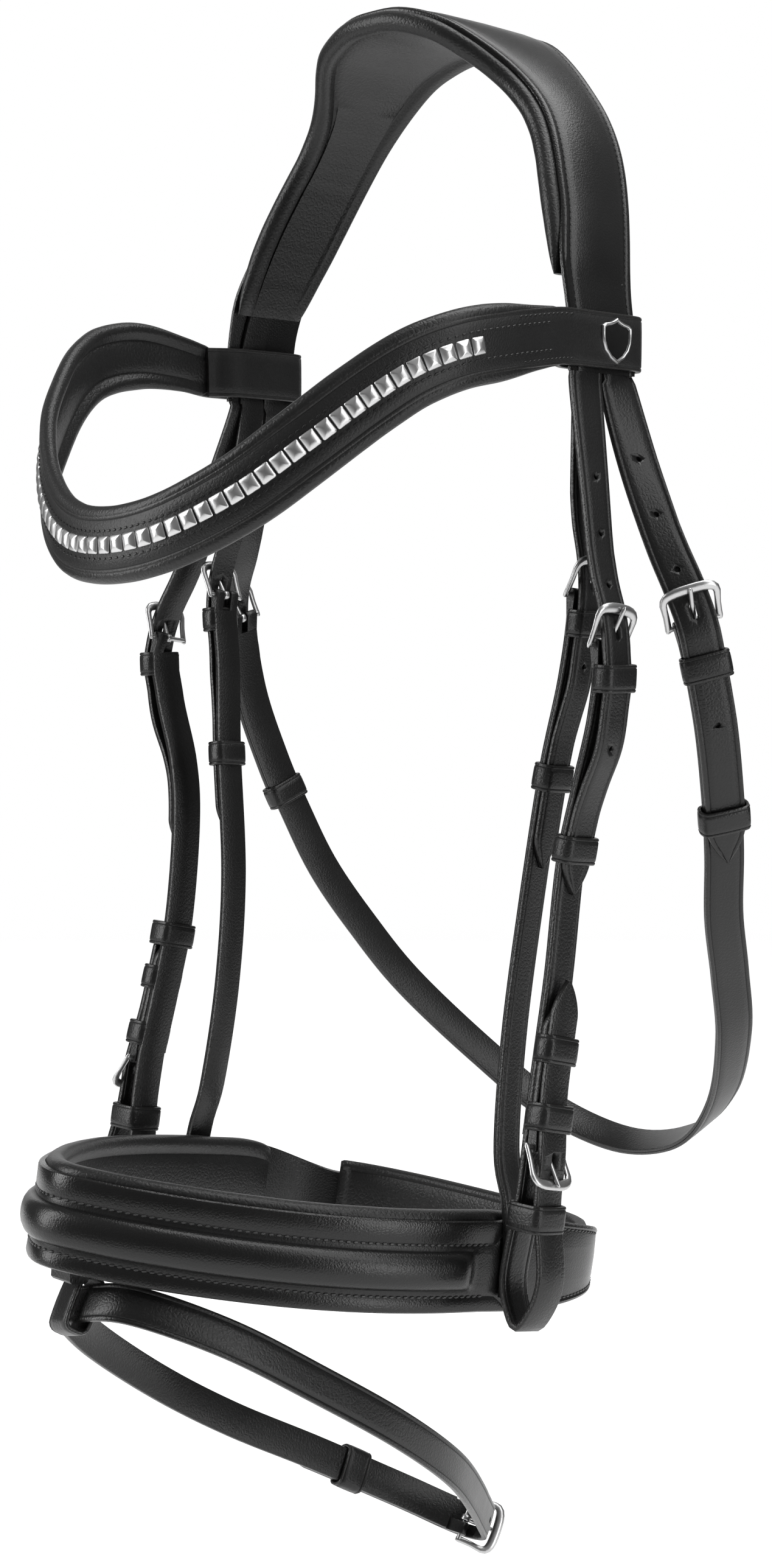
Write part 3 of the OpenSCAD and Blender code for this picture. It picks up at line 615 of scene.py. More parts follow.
ARCH = [(0, 0, 4.5), (12, 0, 4), (24, 0, 1), (35, 0, -4), (46, 0, -13), (57, 0, -24.5), (67, 0, -37),
        (76, 0, -52), (84, 0, -70), (91, 0, -90), (96, 0, -111), (99, 0, -131), (99, 0, -150)]
CROWN = Run(mirrored(ARCH) + ARCH, (0, 1, 0))
TOP = CROWN.length_at(12)
PAD_FRONT = easy([(0, -33), (12, -32.5), (24, -30), (36, -26), (45, -21), (55, -14.5), (66, -9), (78, -6.5),
                  (90, -7), (105, -10.5), (120, -14.5), (134, -17.5), (154, -20), (210, -20)])
PAD_BACK = easy([(0, 49), (24, 48.2), (50, 45.2), (68, 43), (84, 41.3), (98, 39), (113, 35.3), (128, 30.6), (142, 26),
                 (157, 21.9), (170, 20), (210, 20)])
PAD_END = 159
CROSS_SEAM = 162


def crown_edges(s):
    """Front and rear edge of the crown's leather."""
    d = abs(s - TOP)
    return PAD_FRONT(d) + 4.5 * (1 - smooth((d - 126) / 34)), PAD_BACK(d)


def crown_section(s):
    """(across, out, wear, groove) round the crown's leather: puffed face, creased line and bevel at both edges. The
    bevels are marked to be painted lighter, as wear and partly as painted highlight; the creases are marked for
    painted shade.
    """
    f, b = crown_edges(s)
    m = (f + b) / 2
    puff = 1 - 0.75 * smooth((abs(s - TOP) - 150) / 14)

    def edge(e, k, insets, rise):
        """From an edge inwards; k is 1 where inwards is towards larger values."""
        rows = zip(insets, (5.3 + rise * puff, 5.2 + 0.15 * puff, 4.85, 5.2 + 0.1 * puff, 5.3 + 0.45 * puff),
                   (0.4, 0.1, 0, 0.05, 0), (0, 0.1, 1, 0.1, 0))
        return [(e, 3.2, 0.5, 0), (e - 0.05 * k, 4.5, 0.8, 0), (e + 0.6 * k, 5.3, 1, 0)] + [
            (e + a * k, o, wear, groove) for a, o, wear, groove in rows]

    crest = 5.35 + 0.9 * puff
    middle = [(b * 0.6 + m * 0.4, crest, 0, 0), (m, 5.4 + 1.1 * puff, 0, 0), (f * 0.6 + m * 0.4, crest, 0, 0)]
    rear, front = edge(b, -1, (1.8, 3.1, 3.7, 4.3, 6.5), 0.35), edge(f, 1, (2, 3.8, 4.4, 5.0, 7.3), 0.4)
    return [(f + 1, 2.7, 0, 0), (b - 1, 2.7, 0, 0)] + rear + middle + front[::-1]


def crown_leather():
    shape = Shape()
    shape.skin([(CROWN.place(s), crown_section(s), 0) for s in stations(4, 2 * TOP - 4, 3.2)])
    for edge, inset in ((0, 4.4), (1, -3.7)):
        stitch_row(shape, lambda s: CROWN.place(s).moved(crown_edges(s)[edge] + inset, 5.05),
                   8, 2 * TOP - 8, 2.8, 2.0, 0.3)
    for s in (TOP - CROSS_SEAM, TOP + CROSS_SEAM):
        p = CROWN.place(s)
        f, b = crown_edges(s)
        row = Place(p.origin, p.across, p.along * -1, p.out)
        stitch_row(shape, lambda s: row.moved(0, 5.38, s), f + 6, b - 5, 2.8, 2.0, 0.3)
    keep(shape, "crown_outer_leather", "headpiece", ["crown_leather"], materials=[FACE, THREAD])


def crown_padding():
    """Lining with a full roll at the front edge and a flatter one at the rear, thinned out towards its ends."""
    shape = Shape()
    rings = []
    for s in stations(TOP - PAD_END, TOP + PAD_END, 2.4):
        d = abs(s - TOP)
        f, b = PAD_FRONT(d), PAD_BACK(d)
        m = (f + b) / 2
        end = max(0.0, (d - PAD_END) / 34 + 1)
        k = math.sqrt(max(0.03, 1 - 0.96 * end ** 1.9))
        r = 4.2 + 0.22 * noise.noise(Vector((s * 0.09, 3.1, 0)))
        fine = noise.noise(Vector((s * 0.32, 9.7, 0)))
        section = arc(b - 4.2, -0.6, 4.3, 3.4, range(-80, 0, 18)) + arc(b - 4.2, -0.6, 4.3, 2.38, range(10, 101, 18))
        section += [(b - 7, 0.9), (b - 9, -0.1), (m, -0.1), (f + 10, -0.1), (f + 8.4, 0.6)]
        section += arc(f + 3.9, -0.6, r, r, range(52, 297, 17))
        section += [(f + 7.9, -3.5), (f + 9.0, -2.2), (f + 9.8, -1.9 - fine * 0.1), (f + 11.2, -2.5 - fine * 0.12),
                    (m * 0.4 + f * 0.6, -3.0 - fine * 0.16), (m, -3.1 - fine * 0.18),
                    (m * 0.4 + b * 0.6, -2.9 - fine * 0.16), (b - 11.2, -2.4 - fine * 0.1), (b - 9.8, -1.8),
                    (b - 9.0, -2.0), (b - 7.9, -3.2), (b - 6.2, -3.9)]
        p = CROWN.place(s)
        rings.append([p.at(f + (a - f) * (0.86 + 0.14 * k), (o + 0.5) * k - 0.5) for a, o in section])
    shape.loft(rings)
    keep(shape, "crown_padding_rolls", "headpiece", ["crown_padding"], "lining", [PAD], pad=0.8)


def headstrap():
    shape = Shape()
    middle = easy([(0, 8), (80, 8), (150, -4), (175, -8), (210, -8)])
    sweep_strap(shape, lambda s: CROWN.place(s).moved(middle(abs(s - TOP))), 3, 2 * TOP - 3,
                NOSE_STRAP_W, 2.2, 1.35, step=5)
    keep(shape, "noseband_headstrap_leather", "headpiece", ["noseband_headstrap"])


# ---- Browband ----
BROW_NEAR = [(0, -173, -216), (20, -171, -214), (39, -165.5, -208), (60, -154.5, -196), (77, -140, -180),
             (91, -122, -163), (101, -106, -151), (108, -88, -143.5), (110, -66, -139), (108.5, -44, -135.5),
             (106.7, -30, -133.7), (106.4, -20, -133.5)]
BROW_FAR = [(0, -173, -216), (20, -171, -214), (39, -165.5, -207), (60, -155, -193.5), (78, -141, -175.5),
            (92, -123, -156), (102, -106, -141.5), (109, -88, -132.5), (110.5, -66, -128.5), (108.5, -44, -130.5),
            (106.7, -30, -133.2), (106.4, -20, -133.5)]
LOOP_HALF = [(106.6, -6, -133.5), (106.6, 8, -133.5), (106, 17, -133.5), (102, 21.3, -133.5), (98.6, 18, -133.5),
             (97.4, 8, -133.5), (97.4, -8, -133.5), (98, -17.5, -133.5), (100.4, -22.6, -133.5), (103.6, -27, -133.5),
             (104.9, -31, -133.6)]
BROW = Run(mirrored(BROW_FAR + LOOP_HALF) + BROW_NEAR + LOOP_HALF, (0, 0, 1))
LAST = len(BROW_NEAR) + len(LOOP_HALF) - 1
BROW_MID = BROW.length_at(LAST)
PLATES, PLATE_PITCH = 51, 6.8
PLATE_STEPS = [(0.2, 2.3), (0, 2.5), (0, 2.75), (0.1, 2.95), (0.35, 3.2), (0.8, 3.5), (1.4, 3.8), (2.1, 4.02),
               (2.8, 4.12)]
BAND_ENDS = (BROW_MID - BROW.length_at(LAST - 11), BROW.length_at(LAST + 11) - BROW_MID)


def brow_place(s):
    p = BROW.place(s)
    out = p.along.cross(Z).normalized()
    return Place(p.origin, p.along, out.cross(p.along), out)


def to_loop(s):
    """Distance along the band to where its loop begins, negative on the loop."""
    return BAND_ENDS[s > BROW_MID] - abs(s - BROW_MID)


def browband_leather(s0, s1):
    shape = Shape()
    shape.skin([(brow_place(s), strap_section(22.2, 2.4, 1.7, 0.1), 1.2) for s in stations(0, BROW.length, 2.4)])
    for a in (-5.3, 5.3):
        stitch_row(shape, lambda s: brow_place(s).moved(a, 2.6), s0 + 20, s1 - 20, 3.1, 2.3, 0.5)
    for a in (-8.6, 8.6):
        for start in (s0 + 4, s1 - 40):
            stitch_row(shape, lambda s: brow_place(s).moved(a, 2.5), start, start + 36, 2.9, 2.2, 0.36)
    keep(shape, "browband_face_and_loops", "browband", ["browband_leather"], materials=[BROWBAND, DARK_THREAD])


def browband_padding(s0, s1):
    """Roll at both edges with a flat channel between them, narrower and thinner towards the loops."""
    shape = Shape()
    rings = []
    for s in stations(s0 + 9, s1 - 9, 2.2):
        d = to_loop(s)
        end = min(1.0, max(0.0, (13 - d) / 4))
        k = (1 - 0.5 * smooth((56 - d) / 46)) * math.sqrt(1 - 0.9 * end * end)
        thin = 1 - 0.45 * smooth((30 - d) / 20)
        r = 3.6 * k + 0.1 * noise.noise(Vector((s * 0.08, 0, 5)))
        c = 11.4 - 3.2 * (1 - k)
        half = [(0, -0.35), (c - 4.6, -0.35)]
        half += arc(c, -1.3 * thin, r, r, range(112, 0, -23)) + arc(c, -1.3 * thin, r, 0.95 * r, range(-3, -121, -23))
        half += [(c - 3.4, -2.2 * thin), (c - 4.1, -1.9 * thin), (c - 5.2, -2.6 * thin), (c - 7.5, -3.1 * thin),
                 (0, -3.4 * thin)]
        p = brow_place(s)
        rings.append([p.at(a, o) for a, o in half + [(-a, o) for a, o in reversed(half[1:-1])]])
    shape.loft(rings)
    keep(shape, "browband_padding_rolls", "browband", ["browband_padding"], "lining", [PAD], pad=0.8)


def clincher_plates():
    """Row of domed square plates, each seated a little differently."""
    shape = Shape()
    for k in range(PLATES):
        p = brow_place(BROW_MID + (k - PLATES // 2) * PLATE_PITCH + 3)
        lean, roll = math.radians(random.uniform(-2.5, 2.5)), math.radians(random.uniform(-1.5, 1.5))
        rings = []
        for inset, o in PLATE_STEPS:
            c = max(0.15, 0.75 - inset * 0.25)
            x, y = 3.15 - inset - c, 3.4 - inset * 0.9 - c
            outline = []
            for cx, cy, start in ((x, y, 0), (-x, y, 90), (-x, -y, 180), (x, -y, 270)):
                outline += arc(cx, cy, c, c, range(start, start + 91, 30))
            rings.append([p.at(y, o + (x * lean + y * roll) * (o > 2.4), x) for x, y in outline])
        shape.loft(rings)
    keep(shape, "clincher_metal_plates", "browband", ["clincher_plates"], "steel", [PLATE])


def badge():
    """Plain shield with a metal rim round dark enamel."""
    shape = Shape()
    outline = [(0, 8.8), (1.6, 7.9), (4.2, 7.0), (7.4, 6.4), (9.0, 5.4), (9.1, 2.6), (8.7, -0.8), (7.2, -4.2),
               (4.2, -7.2), (0, -9.4)]
    outline += [(-x, z) for x, z in reversed(outline[1:-1])]
    base = Vector((109.0, 1.2, -133.3))
    rim = ((1.0, -0.1), (1.01, 0.5), (1.0, 1.0), (0.96, 1.4), (0.9, 1.5), (0.86, 1.3), (0.84, 0.8))
    face = ((0.84, 0.5), (0.82, 0.85), (0.6, 1.1), (0.3, 1.22))
    for slot, levels in enumerate((rim, face)):
        shape.loft([[base + Vector((o, x * k, z * k)) for x, z in outline] for k, o in levels], slot=slot)
    keep(shape, "browband_shield", "browband", ["browband_badge"], "steel", [NICKEL, ENAMEL])


def browband():
    s0, s1 = BROW_MID - BAND_ENDS[0], BROW_MID + BAND_ENDS[1]
    browband_leather(s0, s1)
    browband_padding(s0, s1)
    clincher_plates()
    badge()


# ---- Straps that hang from the crown ----
REST = 2.95  # a billet's middle over the strap that it lies on
SEWN = 0.85  # a fixed keeper's inner wall is sewn in between the strap's two layers


def over_bar(bar, bow, settle):
    """Height of a billet that climbs over a bar, bows out and settles on the strap above its runner."""
    return easy([(bar - 40, 0), (bar - 27, 1.2), (bar - 14, 3.6), (bar - 3, 4.7), (bar + 4, 4.9),
                 (bar + 12, REST + 0.7 + bow * 0.55), (bar + settle * 0.34, REST + bow * 0.8),
                 (bar + settle * 0.58, REST + bow), (bar + settle * 0.82, REST + bow * 0.35),
                 (bar + settle, REST), (bar + 400, REST)])


def hanging_run(top, points):
    """Run through the CAD's points with two more above them, and the length at the CAD's first point."""
    run = Run(top + points, (0, 1, 0))
    return run, run.length_at(len(top))


CHEEK = [(103.5, -10.5, -154), (118, -21, -201), (133, -32, -255), (131.5, -32.5, -281), (122.5, -32, -312),
         (117.5, -34.5, -340), (116.5, -40, -384), (117.5, -48, -418), (119, -56, -450), (119.5, -62, -482),
         (119, -67, -512)]
CHEEK_RUN, CHEEK_START = hanging_run([(101.9, -9.3, -137), (102.6, -9.8, -146)], CHEEK)
CHEEK_BAR = CHEEK_RUN.length_at(4) - CHEEK_START
BIT_BAR = CHEEK_RUN.length_at(10) - CHEEK_START
BIT_LIFT = STRAP_T / 2 + WRAP_R + 0.15
RETURN_LIFT = BIT_LIFT + BILLET_LIFT
BIT_TURN = [(-6, 0), (0, 0), (20, -0.5), (36, -2.5), (52, -3.5), (62, -0.5), (65, 6), (61, 12.5), (50, 15), (38, 13),
            (26, 9.8), (16, 8.8), (4, 8.8), (-8, 7.4), (-20, 5.9), (-34, 5.55), (-54, 5.5), (-66, 5.4)]


def cheek_place(s):
    return CHEEK_RUN.place(s + CHEEK_START)


def billet(spot, bar, length, w, w0, thick, tip, holes, bow=0.0, settle=68):
    """Billet from the crown to its tip, and the cutters of its punched holes and tongue slot."""
    shape, cutters = Shape(), Shape()
    lift = over_bar(bar, bow, settle)
    sweep_strap(shape, spot, -14, bar + length, straight([(0, w0), (60, w)]), thick, lift, tip, 3.0, crease=2.1)
    slot_hole(cutters, spot(bar))
    for d in holes:
        hole(cutters, spot(bar + d).moved(0, lift(bar + d) + thick / 2 + 2), depth=3.7)
    return shape, cutters


def cheekpieces():
    shape, cutters = billet(cheek_place, CHEEK_BAR, 100, CHEEK_W, 18, BILLET_T, 13, (-70, -46, -24, 38), 3.4)
    both(shape, "{}_cheek_billet_leather", "{}_cheekpiece", ["{}_cheek_billet"],
         blend=("headpiece", (102.6, -9.8, -145), (103.8, -10.7, -156)), cutters=cutters)

    shape, cutters = Shape(), Shape()
    sweep_strap(shape, cheek_place, CHEEK_BAR + 7, BIT_BAR - 4, CHEEK_W, STRAP_T, step=4.5, layers=2)
    bar_fold(shape, cheek_place(CHEEK_BAR), CHEEK_W)
    turn = Run([cheek_place(BIT_BAR + d).at(0, o) for d, o in BIT_TURN], cheek_place(BIT_BAR).across)
    sweep_strap(shape, turn.place, 0, turn.length, CHEEK_W - 0.4, BILLET_T, tip=14, step=2.4)
    foot = cheek_place(BIT_BAR).moved(0, BIT_LIFT).turned()
    slot_hole(cutters, foot)
    both(shape, "{}_cheek_strap_leather", "{}_cheekpiece", ["{}_cheek_strap"], cutters=cutters)

    shape = Shape()
    band(shape, cheek_place(CHEEK_BAR + 12), CHEEK_W, SEWN, 6.9)
    band(shape, cheek_place(BIT_BAR - 38), CHEEK_W, SEWN, 6.9)
    band(shape, cheek_place(BIT_BAR - 11.5), CHEEK_W, SEWN, 8.9)
    band(shape, cheek_place(BIT_BAR + 27), CHEEK_W, -2.6, RETURN_LIFT + 3.0, wall=1.5, play=0.2)
    bar_fold(shape, foot, CHEEK_W, 12, -WRAP_R, 1.1)
    between = easy([(-60, 2.85), (-20, 2.9), (-8, 3.0)])
    sweep_strap(shape, lambda d: cheek_place(BIT_BAR - 8 - d), 0, 50, CHEEK_W + 0.3, 3.0,
                lambda d: between(-8 - d), tip=12)
    both(shape, "{}_cheek_keeper_bands", "{}_cheekpiece", ["{}_cheek_keepers"])

    shape = Shape()
    band(shape, cheek_place(CHEEK_BAR + 82), CHEEK_W, STACK_LOW, 4.35, play=0.5)
    keep(shape, "near_cheek_runner_band", "near_cheek_runner", ["near_cheek_runner"])
    shape = Shape()
    band(shape, cheek_place(BIT_BAR - 59), CHEEK_W, STACK_LOW, 7.0, play=0.5)
    keep(shape.mirrored(), "far_cheek_runner_band", "far_cheek_runner", ["far_cheek_runner"])
    buckle(cheek_place(CHEEK_BAR), CHEEK_W, "{}_cheekpiece", "{}_cheek", both)
    buckle(foot, CHEEK_W, "{}_cheekpiece", "{}_bit", both)


# ---- Noseband ----
NOSE_HALF = [(0, -199), (22, -189), (40, -173), (56, -154), (70, -133), (81, -110), (88.5, -85), (92.5, -58),
             (93.5, -30), (91.5, -3), (83, 20), (65, 36), (36, 44), (0, 46)]
NOSE = Run([(x, y, 0) for x, y in NOSE_HALF] + [(-x, y, 0) for x, y in reversed(NOSE_HALF[1:-1])], (0, 0, 1), True)
NOSE_TILT = Matrix.Rotation(math.radians(-11.3), 3, "X")
NOSE_LIFT = Vector((0, 0, -494))
NOSE_H, NOSE_MID = 38, -19
NEAR_SIDE, NEAR_CORNER = NOSE.length_at(7), NOSE.length_at(10)
CHIN_BAR = NOSE.length_at(13) + 4
FAR_BAR = CHIN_BAR - NOSE.length
CHIN_LIFT = 3


def in_nose_frame(p):
    return Place(NOSE_TILT @ p.origin + NOSE_LIFT, NOSE_TILT @ p.along, NOSE_TILT @ p.across, NOSE_TILT @ p.out)


def nose_place(s):
    """Place on the noseband's middle height; across points up."""
    u = NOSE.u_at(s % NOSE.length)
    along = (NOSE.point(u + 0.05) - NOSE.point(u - 0.05)).normalized()
    sag = 2.0 * math.sin(math.pi * s / NEAR_SIDE) if 0 < s < NEAR_SIDE else 0.0
    return in_nose_frame(Place(NOSE.point(u) + Z * (NOSE_MID - sag), along, Z, along.cross(Z)))


def chin_place(d):
    """Place on the chin straps, d from the bar towards the near side."""
    return nose_place(CHIN_BAR - d).moved(0, CHIN_LIFT).turned()


NOSE_FLAT = table([(-NEAR_SIDE - 14, 1), (-NEAR_SIDE - 4, 0), (NEAR_SIDE + 4, 0), (NEAR_SIDE + 14, 1)])
NOSE_TAPER = easy([(-NEAR_SIDE - 94, 8), (-NEAR_SIDE - 84, 9), (-NEAR_SIDE - 56, 16.4), (-NEAR_SIDE - 40, 18.4),
                   (-NEAR_SIDE - 20, 18.7), (NEAR_SIDE + 14, 18.7), (NEAR_SIDE + 30, 18.3), (NEAR_SIDE + 52, 16.6),
                   (NEAR_CORNER - 4, 14), (NEAR_CORNER + 20, 9.8), (NEAR_CORNER + 36, 8)])
NOSE_ROLL = table([(-NEAR_SIDE + 5, 0), (-NEAR_SIDE + 12, 1), (NEAR_SIDE - 12, 1), (NEAR_SIDE - 5, 0)])
ROLL_DROP = 2.2


def nose_side(h, roll, flat, shift):
    """Half of the section, from the edge to the roll's crest. shift moves the roll towards this half."""
    q = 7.8 + shift * (1 - flat)
    seam = (q + 2.4) * (1 - flat) + (h - 2.7) * flat
    q = min(q, seam - 1.6)
    puff = 4.4 * roll
    half = [(h - 0.5, 1.5, 0, 0), (h, 2.0, 0.5, 0), (h + 0.05, 3.5, 0.8, 0), (h - 0.5, 4.25, 1, 0),
            (h - 1.4, 4.5, 0.4, 0), (seam + 1.0, 4.35, 0.1, 0), (seam, 3.85, 0, 0.9), (seam - 0.8, 4.2, 0.1, 0.2),
            (q, 4.15, 0, 0.9 * roll)]
    for k, rise in ((0.93, 0.36), (0.78, 0.66), (0.55, 0.88), (0.28, 0.98)):
        half.append((shift + (q - shift) * k, 4.25 + 0.2 * (1 - k) + puff * rise, 0.1, 0))
    return half


def nose_section(s):
    """(across, out, wear, groove) round the noseband's leather. The bevels and the roll's crest are marked to be
    painted lighter, as wear and partly as painted highlight; the seams and the roll's foot are marked for painted
    shade.
    """
    h = NOSE_TAPER(s)
    roll, flat = NOSE_ROLL(s), NOSE_FLAT(s)
    drop = ROLL_DROP * (1 - flat)
    top = nose_side(h - 1.2 * (1 - flat), roll, flat, -drop)
    low = nose_side(h, roll, flat, drop)
    return top + [(-drop, 4.45 + 4.4 * roll, 0.15, 0)] + [(-a, o, w, g) for a, o, w, g in reversed(low)]


def noseband_leather():
    shape, cutters = Shape(), Shape()
    shape.skin([(nose_place(s), nose_section(s), 0) for s in stations(FAR_BAR + 46, CHIN_BAR - 6, 2.6)])
    front = NEAR_SIDE + 1
    for sign in (1, -1):
        row = sign * 10.2 - ROLL_DROP
        stitch_row(shape, lambda s: nose_place(s).moved(row, 4.2), -front, front, 3.0, 2.3, 0.5)
        for a, b in ((front + 8, NEAR_CORNER + 36), (FAR_BAR + 52, -front - 8)):
            stitch_row(shape, lambda s: nose_place(s).moved((NOSE_TAPER(s) - 2.7) * sign, 4.2), a, b, 3.0, 2.3, 0.4)
    bar_fold(shape, chin_place(0), CHIN_W)
    lift = easy([(-50, 0.1), (-34, 0.5), (-14, 3.7), (-3, 4.6), (8, 4.2), (20, 3.1), (60, REST)])
    sweep_strap(shape, chin_place, -54, 52, CHIN_W, BILLET_T, lift, 13, 2.6)
    slot_hole(cutters, chin_place(0))
    hole(cutters, chin_place(28).moved(0, REST), depth=1.6)
    keep(shape, "noseband_outer_leather", "noseband", ["noseband_leather"],
         materials=[FACE, THREAD], cutters=cutters)


def noseband_padding():
    """Lining with a full roll along the top edge, a flatter one along the low edge and a cushion between."""
    shape = Shape()
    rings = []
    reach = NEAR_SIDE + 52
    for s in stations(-reach, reach, 2.4):
        end = max(0.0, (abs(s) - reach) / 26 + 1)
        k = math.sqrt(max(0.03, 1 - 0.95 * end ** 2.2))
        tuck = NOSE_FLAT(s)
        ripple = 0.12 * noise.noise(Vector((s * 0.07, 0, 2)))
        sag = 0.3 * noise.noise(Vector((s * 0.05, 4, 0)))
        section = [(0, 1.0), (15.5, 1.0)]
        section += arc(17.4, -2.4, 3.7 + ripple - 0.4 * tuck, 4.0 - 0.6 * tuck, range(118, -119, -18))
        section += [(13.5, -5.0), (12.7, -4.2), (11.4, -4.9), (8, -5.5 - sag), (0, -5.7 + sag), (-8, -5.5 - sag),
                    (-11.6, -5.0), (-12.8, -4.3), (-13.6, -4.7)]
        section += arc(-16.6 + 0.4 * tuck, -2.0, 2.4 + ripple, 3.4, range(-62, -299, -18)) + [(-15, 1.0)]
        p = nose_place(s)
        rings.append([p.at(a * (0.72 + 0.28 * k), (o + 1.2) * k - 1.2) for a, o in section])
    shape.loft(rings)
    keep(shape, "noseband_padding_rolls", "noseband", ["noseband_padding"], "lining", [PAD], pad=0.85)


def chin_padding():
    """Cushion with a piped edge behind the chin straps."""
    shape = Shape()
    rings = []
    start, finish = NEAR_SIDE + 54, NOSE.length - NEAR_SIDE - 90
    for s in stations(start, finish, 1.4):
        d = min(s - start, finish - s)
        end = max(0.0, 1 - d / 2.6)
        k = math.sqrt(max(0.04, 1 - 0.94 * end * end))
        dip = smooth((d - 3.6) / 1.6)
        e = 0.93 + 0.07 * k
        low = 0.48 + 0.52 * smooth((s - start) / 44)
        half = [(12.4, 0.25), (13.9 * e, -0.6), (14.6 * e, -2.2), (14.0 * e, -4.0), (12.8, -4.9), (11.6, -4.9),
                (10.7, -4.6 + 0.9 * dip), (10.2, -4.5 + 1.5 * dip), (9.4, -4.5 + 1.2 * dip), (5, -4.7 + 1.0 * dip)]
        full = half + [(0, -4.8 + 1.0 * dip)] + [(-a, o) for a, o in reversed(half)]
        p = nose_place(s)
        rings.append([p.at(a * low, (o + 2.3) * k - 2.3) for a, o in full])
    shape.loft(rings)
    keep(shape, "chin_pad_cushion", "noseband", ["chin_padding"], "lining", [PAD], pad=0.85)


def noseband():
    noseband_leather()
    noseband_padding()
    chin_padding()
    shape = Shape()
    for d in (18, 38):
        band(shape, chin_place(d), CHIN_W, STACK_LOW, 4.5, 9)
    keep(shape, "chin_keeper_bands", "noseband", ["chin_keepers"])
    buckle(chin_place(0), CHIN_W, "noseband", "chin")


NOSE_STRAP = [(100.3, -8, -152), (104, -13, -193), (108, -18, -235), (104.5, -19.5, -267), (98.5, -24.5, -306),
              (91, -28.5, -363), (88.5, -35, -413), (91, -42, -458), (97, -44, -478), (99.8, -46, -496),
              (99.8, -49, -516)]
NOSE_STRAP_RUN, NOSE_STRAP_START = hanging_run([(100.3, -8, -138), (100.3, -8, -145)], NOSE_STRAP)
NOSE_BAR = NOSE_STRAP_RUN.length_at(4) - NOSE_STRAP_START
NOSE_STRAP_END = NOSE_STRAP_RUN.length - NOSE_STRAP_START


def nose_strap_place(s):
    return NOSE_STRAP_RUN.place(s + NOSE_STRAP_START)


def noseband_straps():
    shape, cutters = billet(nose_strap_place, NOSE_BAR, 111, NOSE_STRAP_W, NOSE_STRAP_W, 2.2, 13, (-48, -26, 28),
                            1.8, 60)
    both(shape, "{}_noseband_billet_leather", "noseband", ["{}_noseband_billet"],
         blend=("headpiece", (100.3, -8, -145), (100.8, -8.8, -156)), cutters=cutters)

    shape = Shape()
    sweep_strap(shape, nose_strap_place, NOSE_BAR + 7, NOSE_STRAP_END, NOSE_STRAP_W, STRAP_T, step=4.5, layers=2)
    bar_fold(shape, nose_strap_place(NOSE_BAR), NOSE_STRAP_W)
    for a in (-3.6, 3.6):
        stitch_row(shape, lambda s: nose_strap_place(s).moved(a, 1.62), NOSE_STRAP_END - 30, NOSE_STRAP_END - 3,
                   2.7, 2.0, 0.34)
    both(shape, "{}_noseband_strap_leather", "noseband", ["{}_noseband_strap"], materials=[STRAP, THREAD])

    shape = Shape()
    band(shape, nose_strap_place(NOSE_BAR + 11), NOSE_STRAP_W, SEWN, 6.0)
    both(shape, "{}_noseband_keeper_band", "noseband", ["{}_noseband_keeper"])
    shape = Shape()
    band(shape, nose_strap_place(NOSE_BAR + 74), NOSE_STRAP_W, STACK_LOW, 4.2, play=0.5)
    both(shape, "{}_noseband_runner_band", "{}_noseband_runner", ["{}_noseband_runner"])
    buckle(nose_strap_place(NOSE_BAR), NOSE_STRAP_W, "noseband", "{}_noseband", both)


# ---- Throatlash ----
THROAT_HALF = [(0, 147, -502), (43, 140, -491), (75, 124, -465), (101, 97, -429), (114, 76, -398),
               (123, 59, -370), (131, 48, -342), (136.5, 38, -315), (140, 27, -282), (137, 18, -246), (126, 12, -213),
               (114, 10, -182), (103, 10.5, -152)]
THROAT_TOP = [(102.3, 10.2, -145), (101.7, 9.8, -137)]
THROAT = Run([p for p in reversed(THROAT_HALF[1:] + THROAT_TOP)] + [THROAT_HALF[0]]
             + [(-x, y, z) for x, y, z in THROAT_HALF[1:] + THROAT_TOP],
             (0, math.cos(math.radians(27)), math.sin(math.radians(27))))
THROAT_START = THROAT.length_at(2)
TWIST = straight([(0, 0), (50, -20), (90, -35), (290, -35), (350, -20), (410, 0)])
FLAT_THROAT = Run(THROAT.points, THROAT.ref)
THROAT.twist = lambda s: TWIST(s - THROAT_START)
THROAT_BAR = THROAT.length_at(5) - THROAT_START
THROAT_END = THROAT.length - 2 * THROAT_START


def throat_place(s):
    return THROAT.place(s + THROAT_START)


def far_throat_place(s):
    return throat_place(THROAT_END - s).turned()


def throat_billet(spot):
    return billet(spot, THROAT_BAR, 104, THROAT_W, 19, BILLET_T, 16, (-70, -46, -22, 42))


def throatlash():
    shape, cutters = throat_billet(throat_place)
    keep(shape, "near_throat_billet_leather", "throatlash", ["near_throat_billet"],
         blend=("headpiece", (102.3, 10.2, -145), (103.6, 10.4, -156)), cutters=cutters)
    shape, cutters = throat_billet(lambda s: FLAT_THROAT.place(s + THROAT_START))
    keep(shape.mirrored(), "far_throat_billet_leather", "throatlash", ["far_throat_billet"],
         blend=("headpiece", (-102.3, 10.2, -145), (-103.6, 10.4, -156)), cutters=cutters.mirrored())

    shape = Shape()
    sweep_strap(shape, throat_place, THROAT_BAR + 7, THROAT_END - THROAT_BAR - 7, THROAT_W, STRAP_T, step=5, layers=2)
    bar_fold(shape, throat_place(THROAT_BAR), THROAT_W)
    bar_fold(shape, far_throat_place(THROAT_BAR), THROAT_W)
    keep(shape, "throatlash_strap_leather", "throatlash", ["throatlash_strap"])

    shape = Shape()
    for spot in (throat_place, far_throat_place):
        band(shape, spot(THROAT_BAR + 18), THROAT_W, SEWN, 4.7)
    keep(shape, "throatlash_keeper_bands", "throatlash", ["throatlash_keepers"])
    for side, spot, d in (("near", throat_place, 84), ("far", far_throat_place, 90)):
        shape = Shape()
        band(shape, spot(THROAT_BAR + d), THROAT_W, STACK_LOW, 4.35, play=0.5)
        keep(shape, side + "_throat_runner_band", side + "_throat_runner", [side + "_throat_runner"])
        buckle(spot(THROAT_BAR), THROAT_W, "throatlash", side + "_throat")


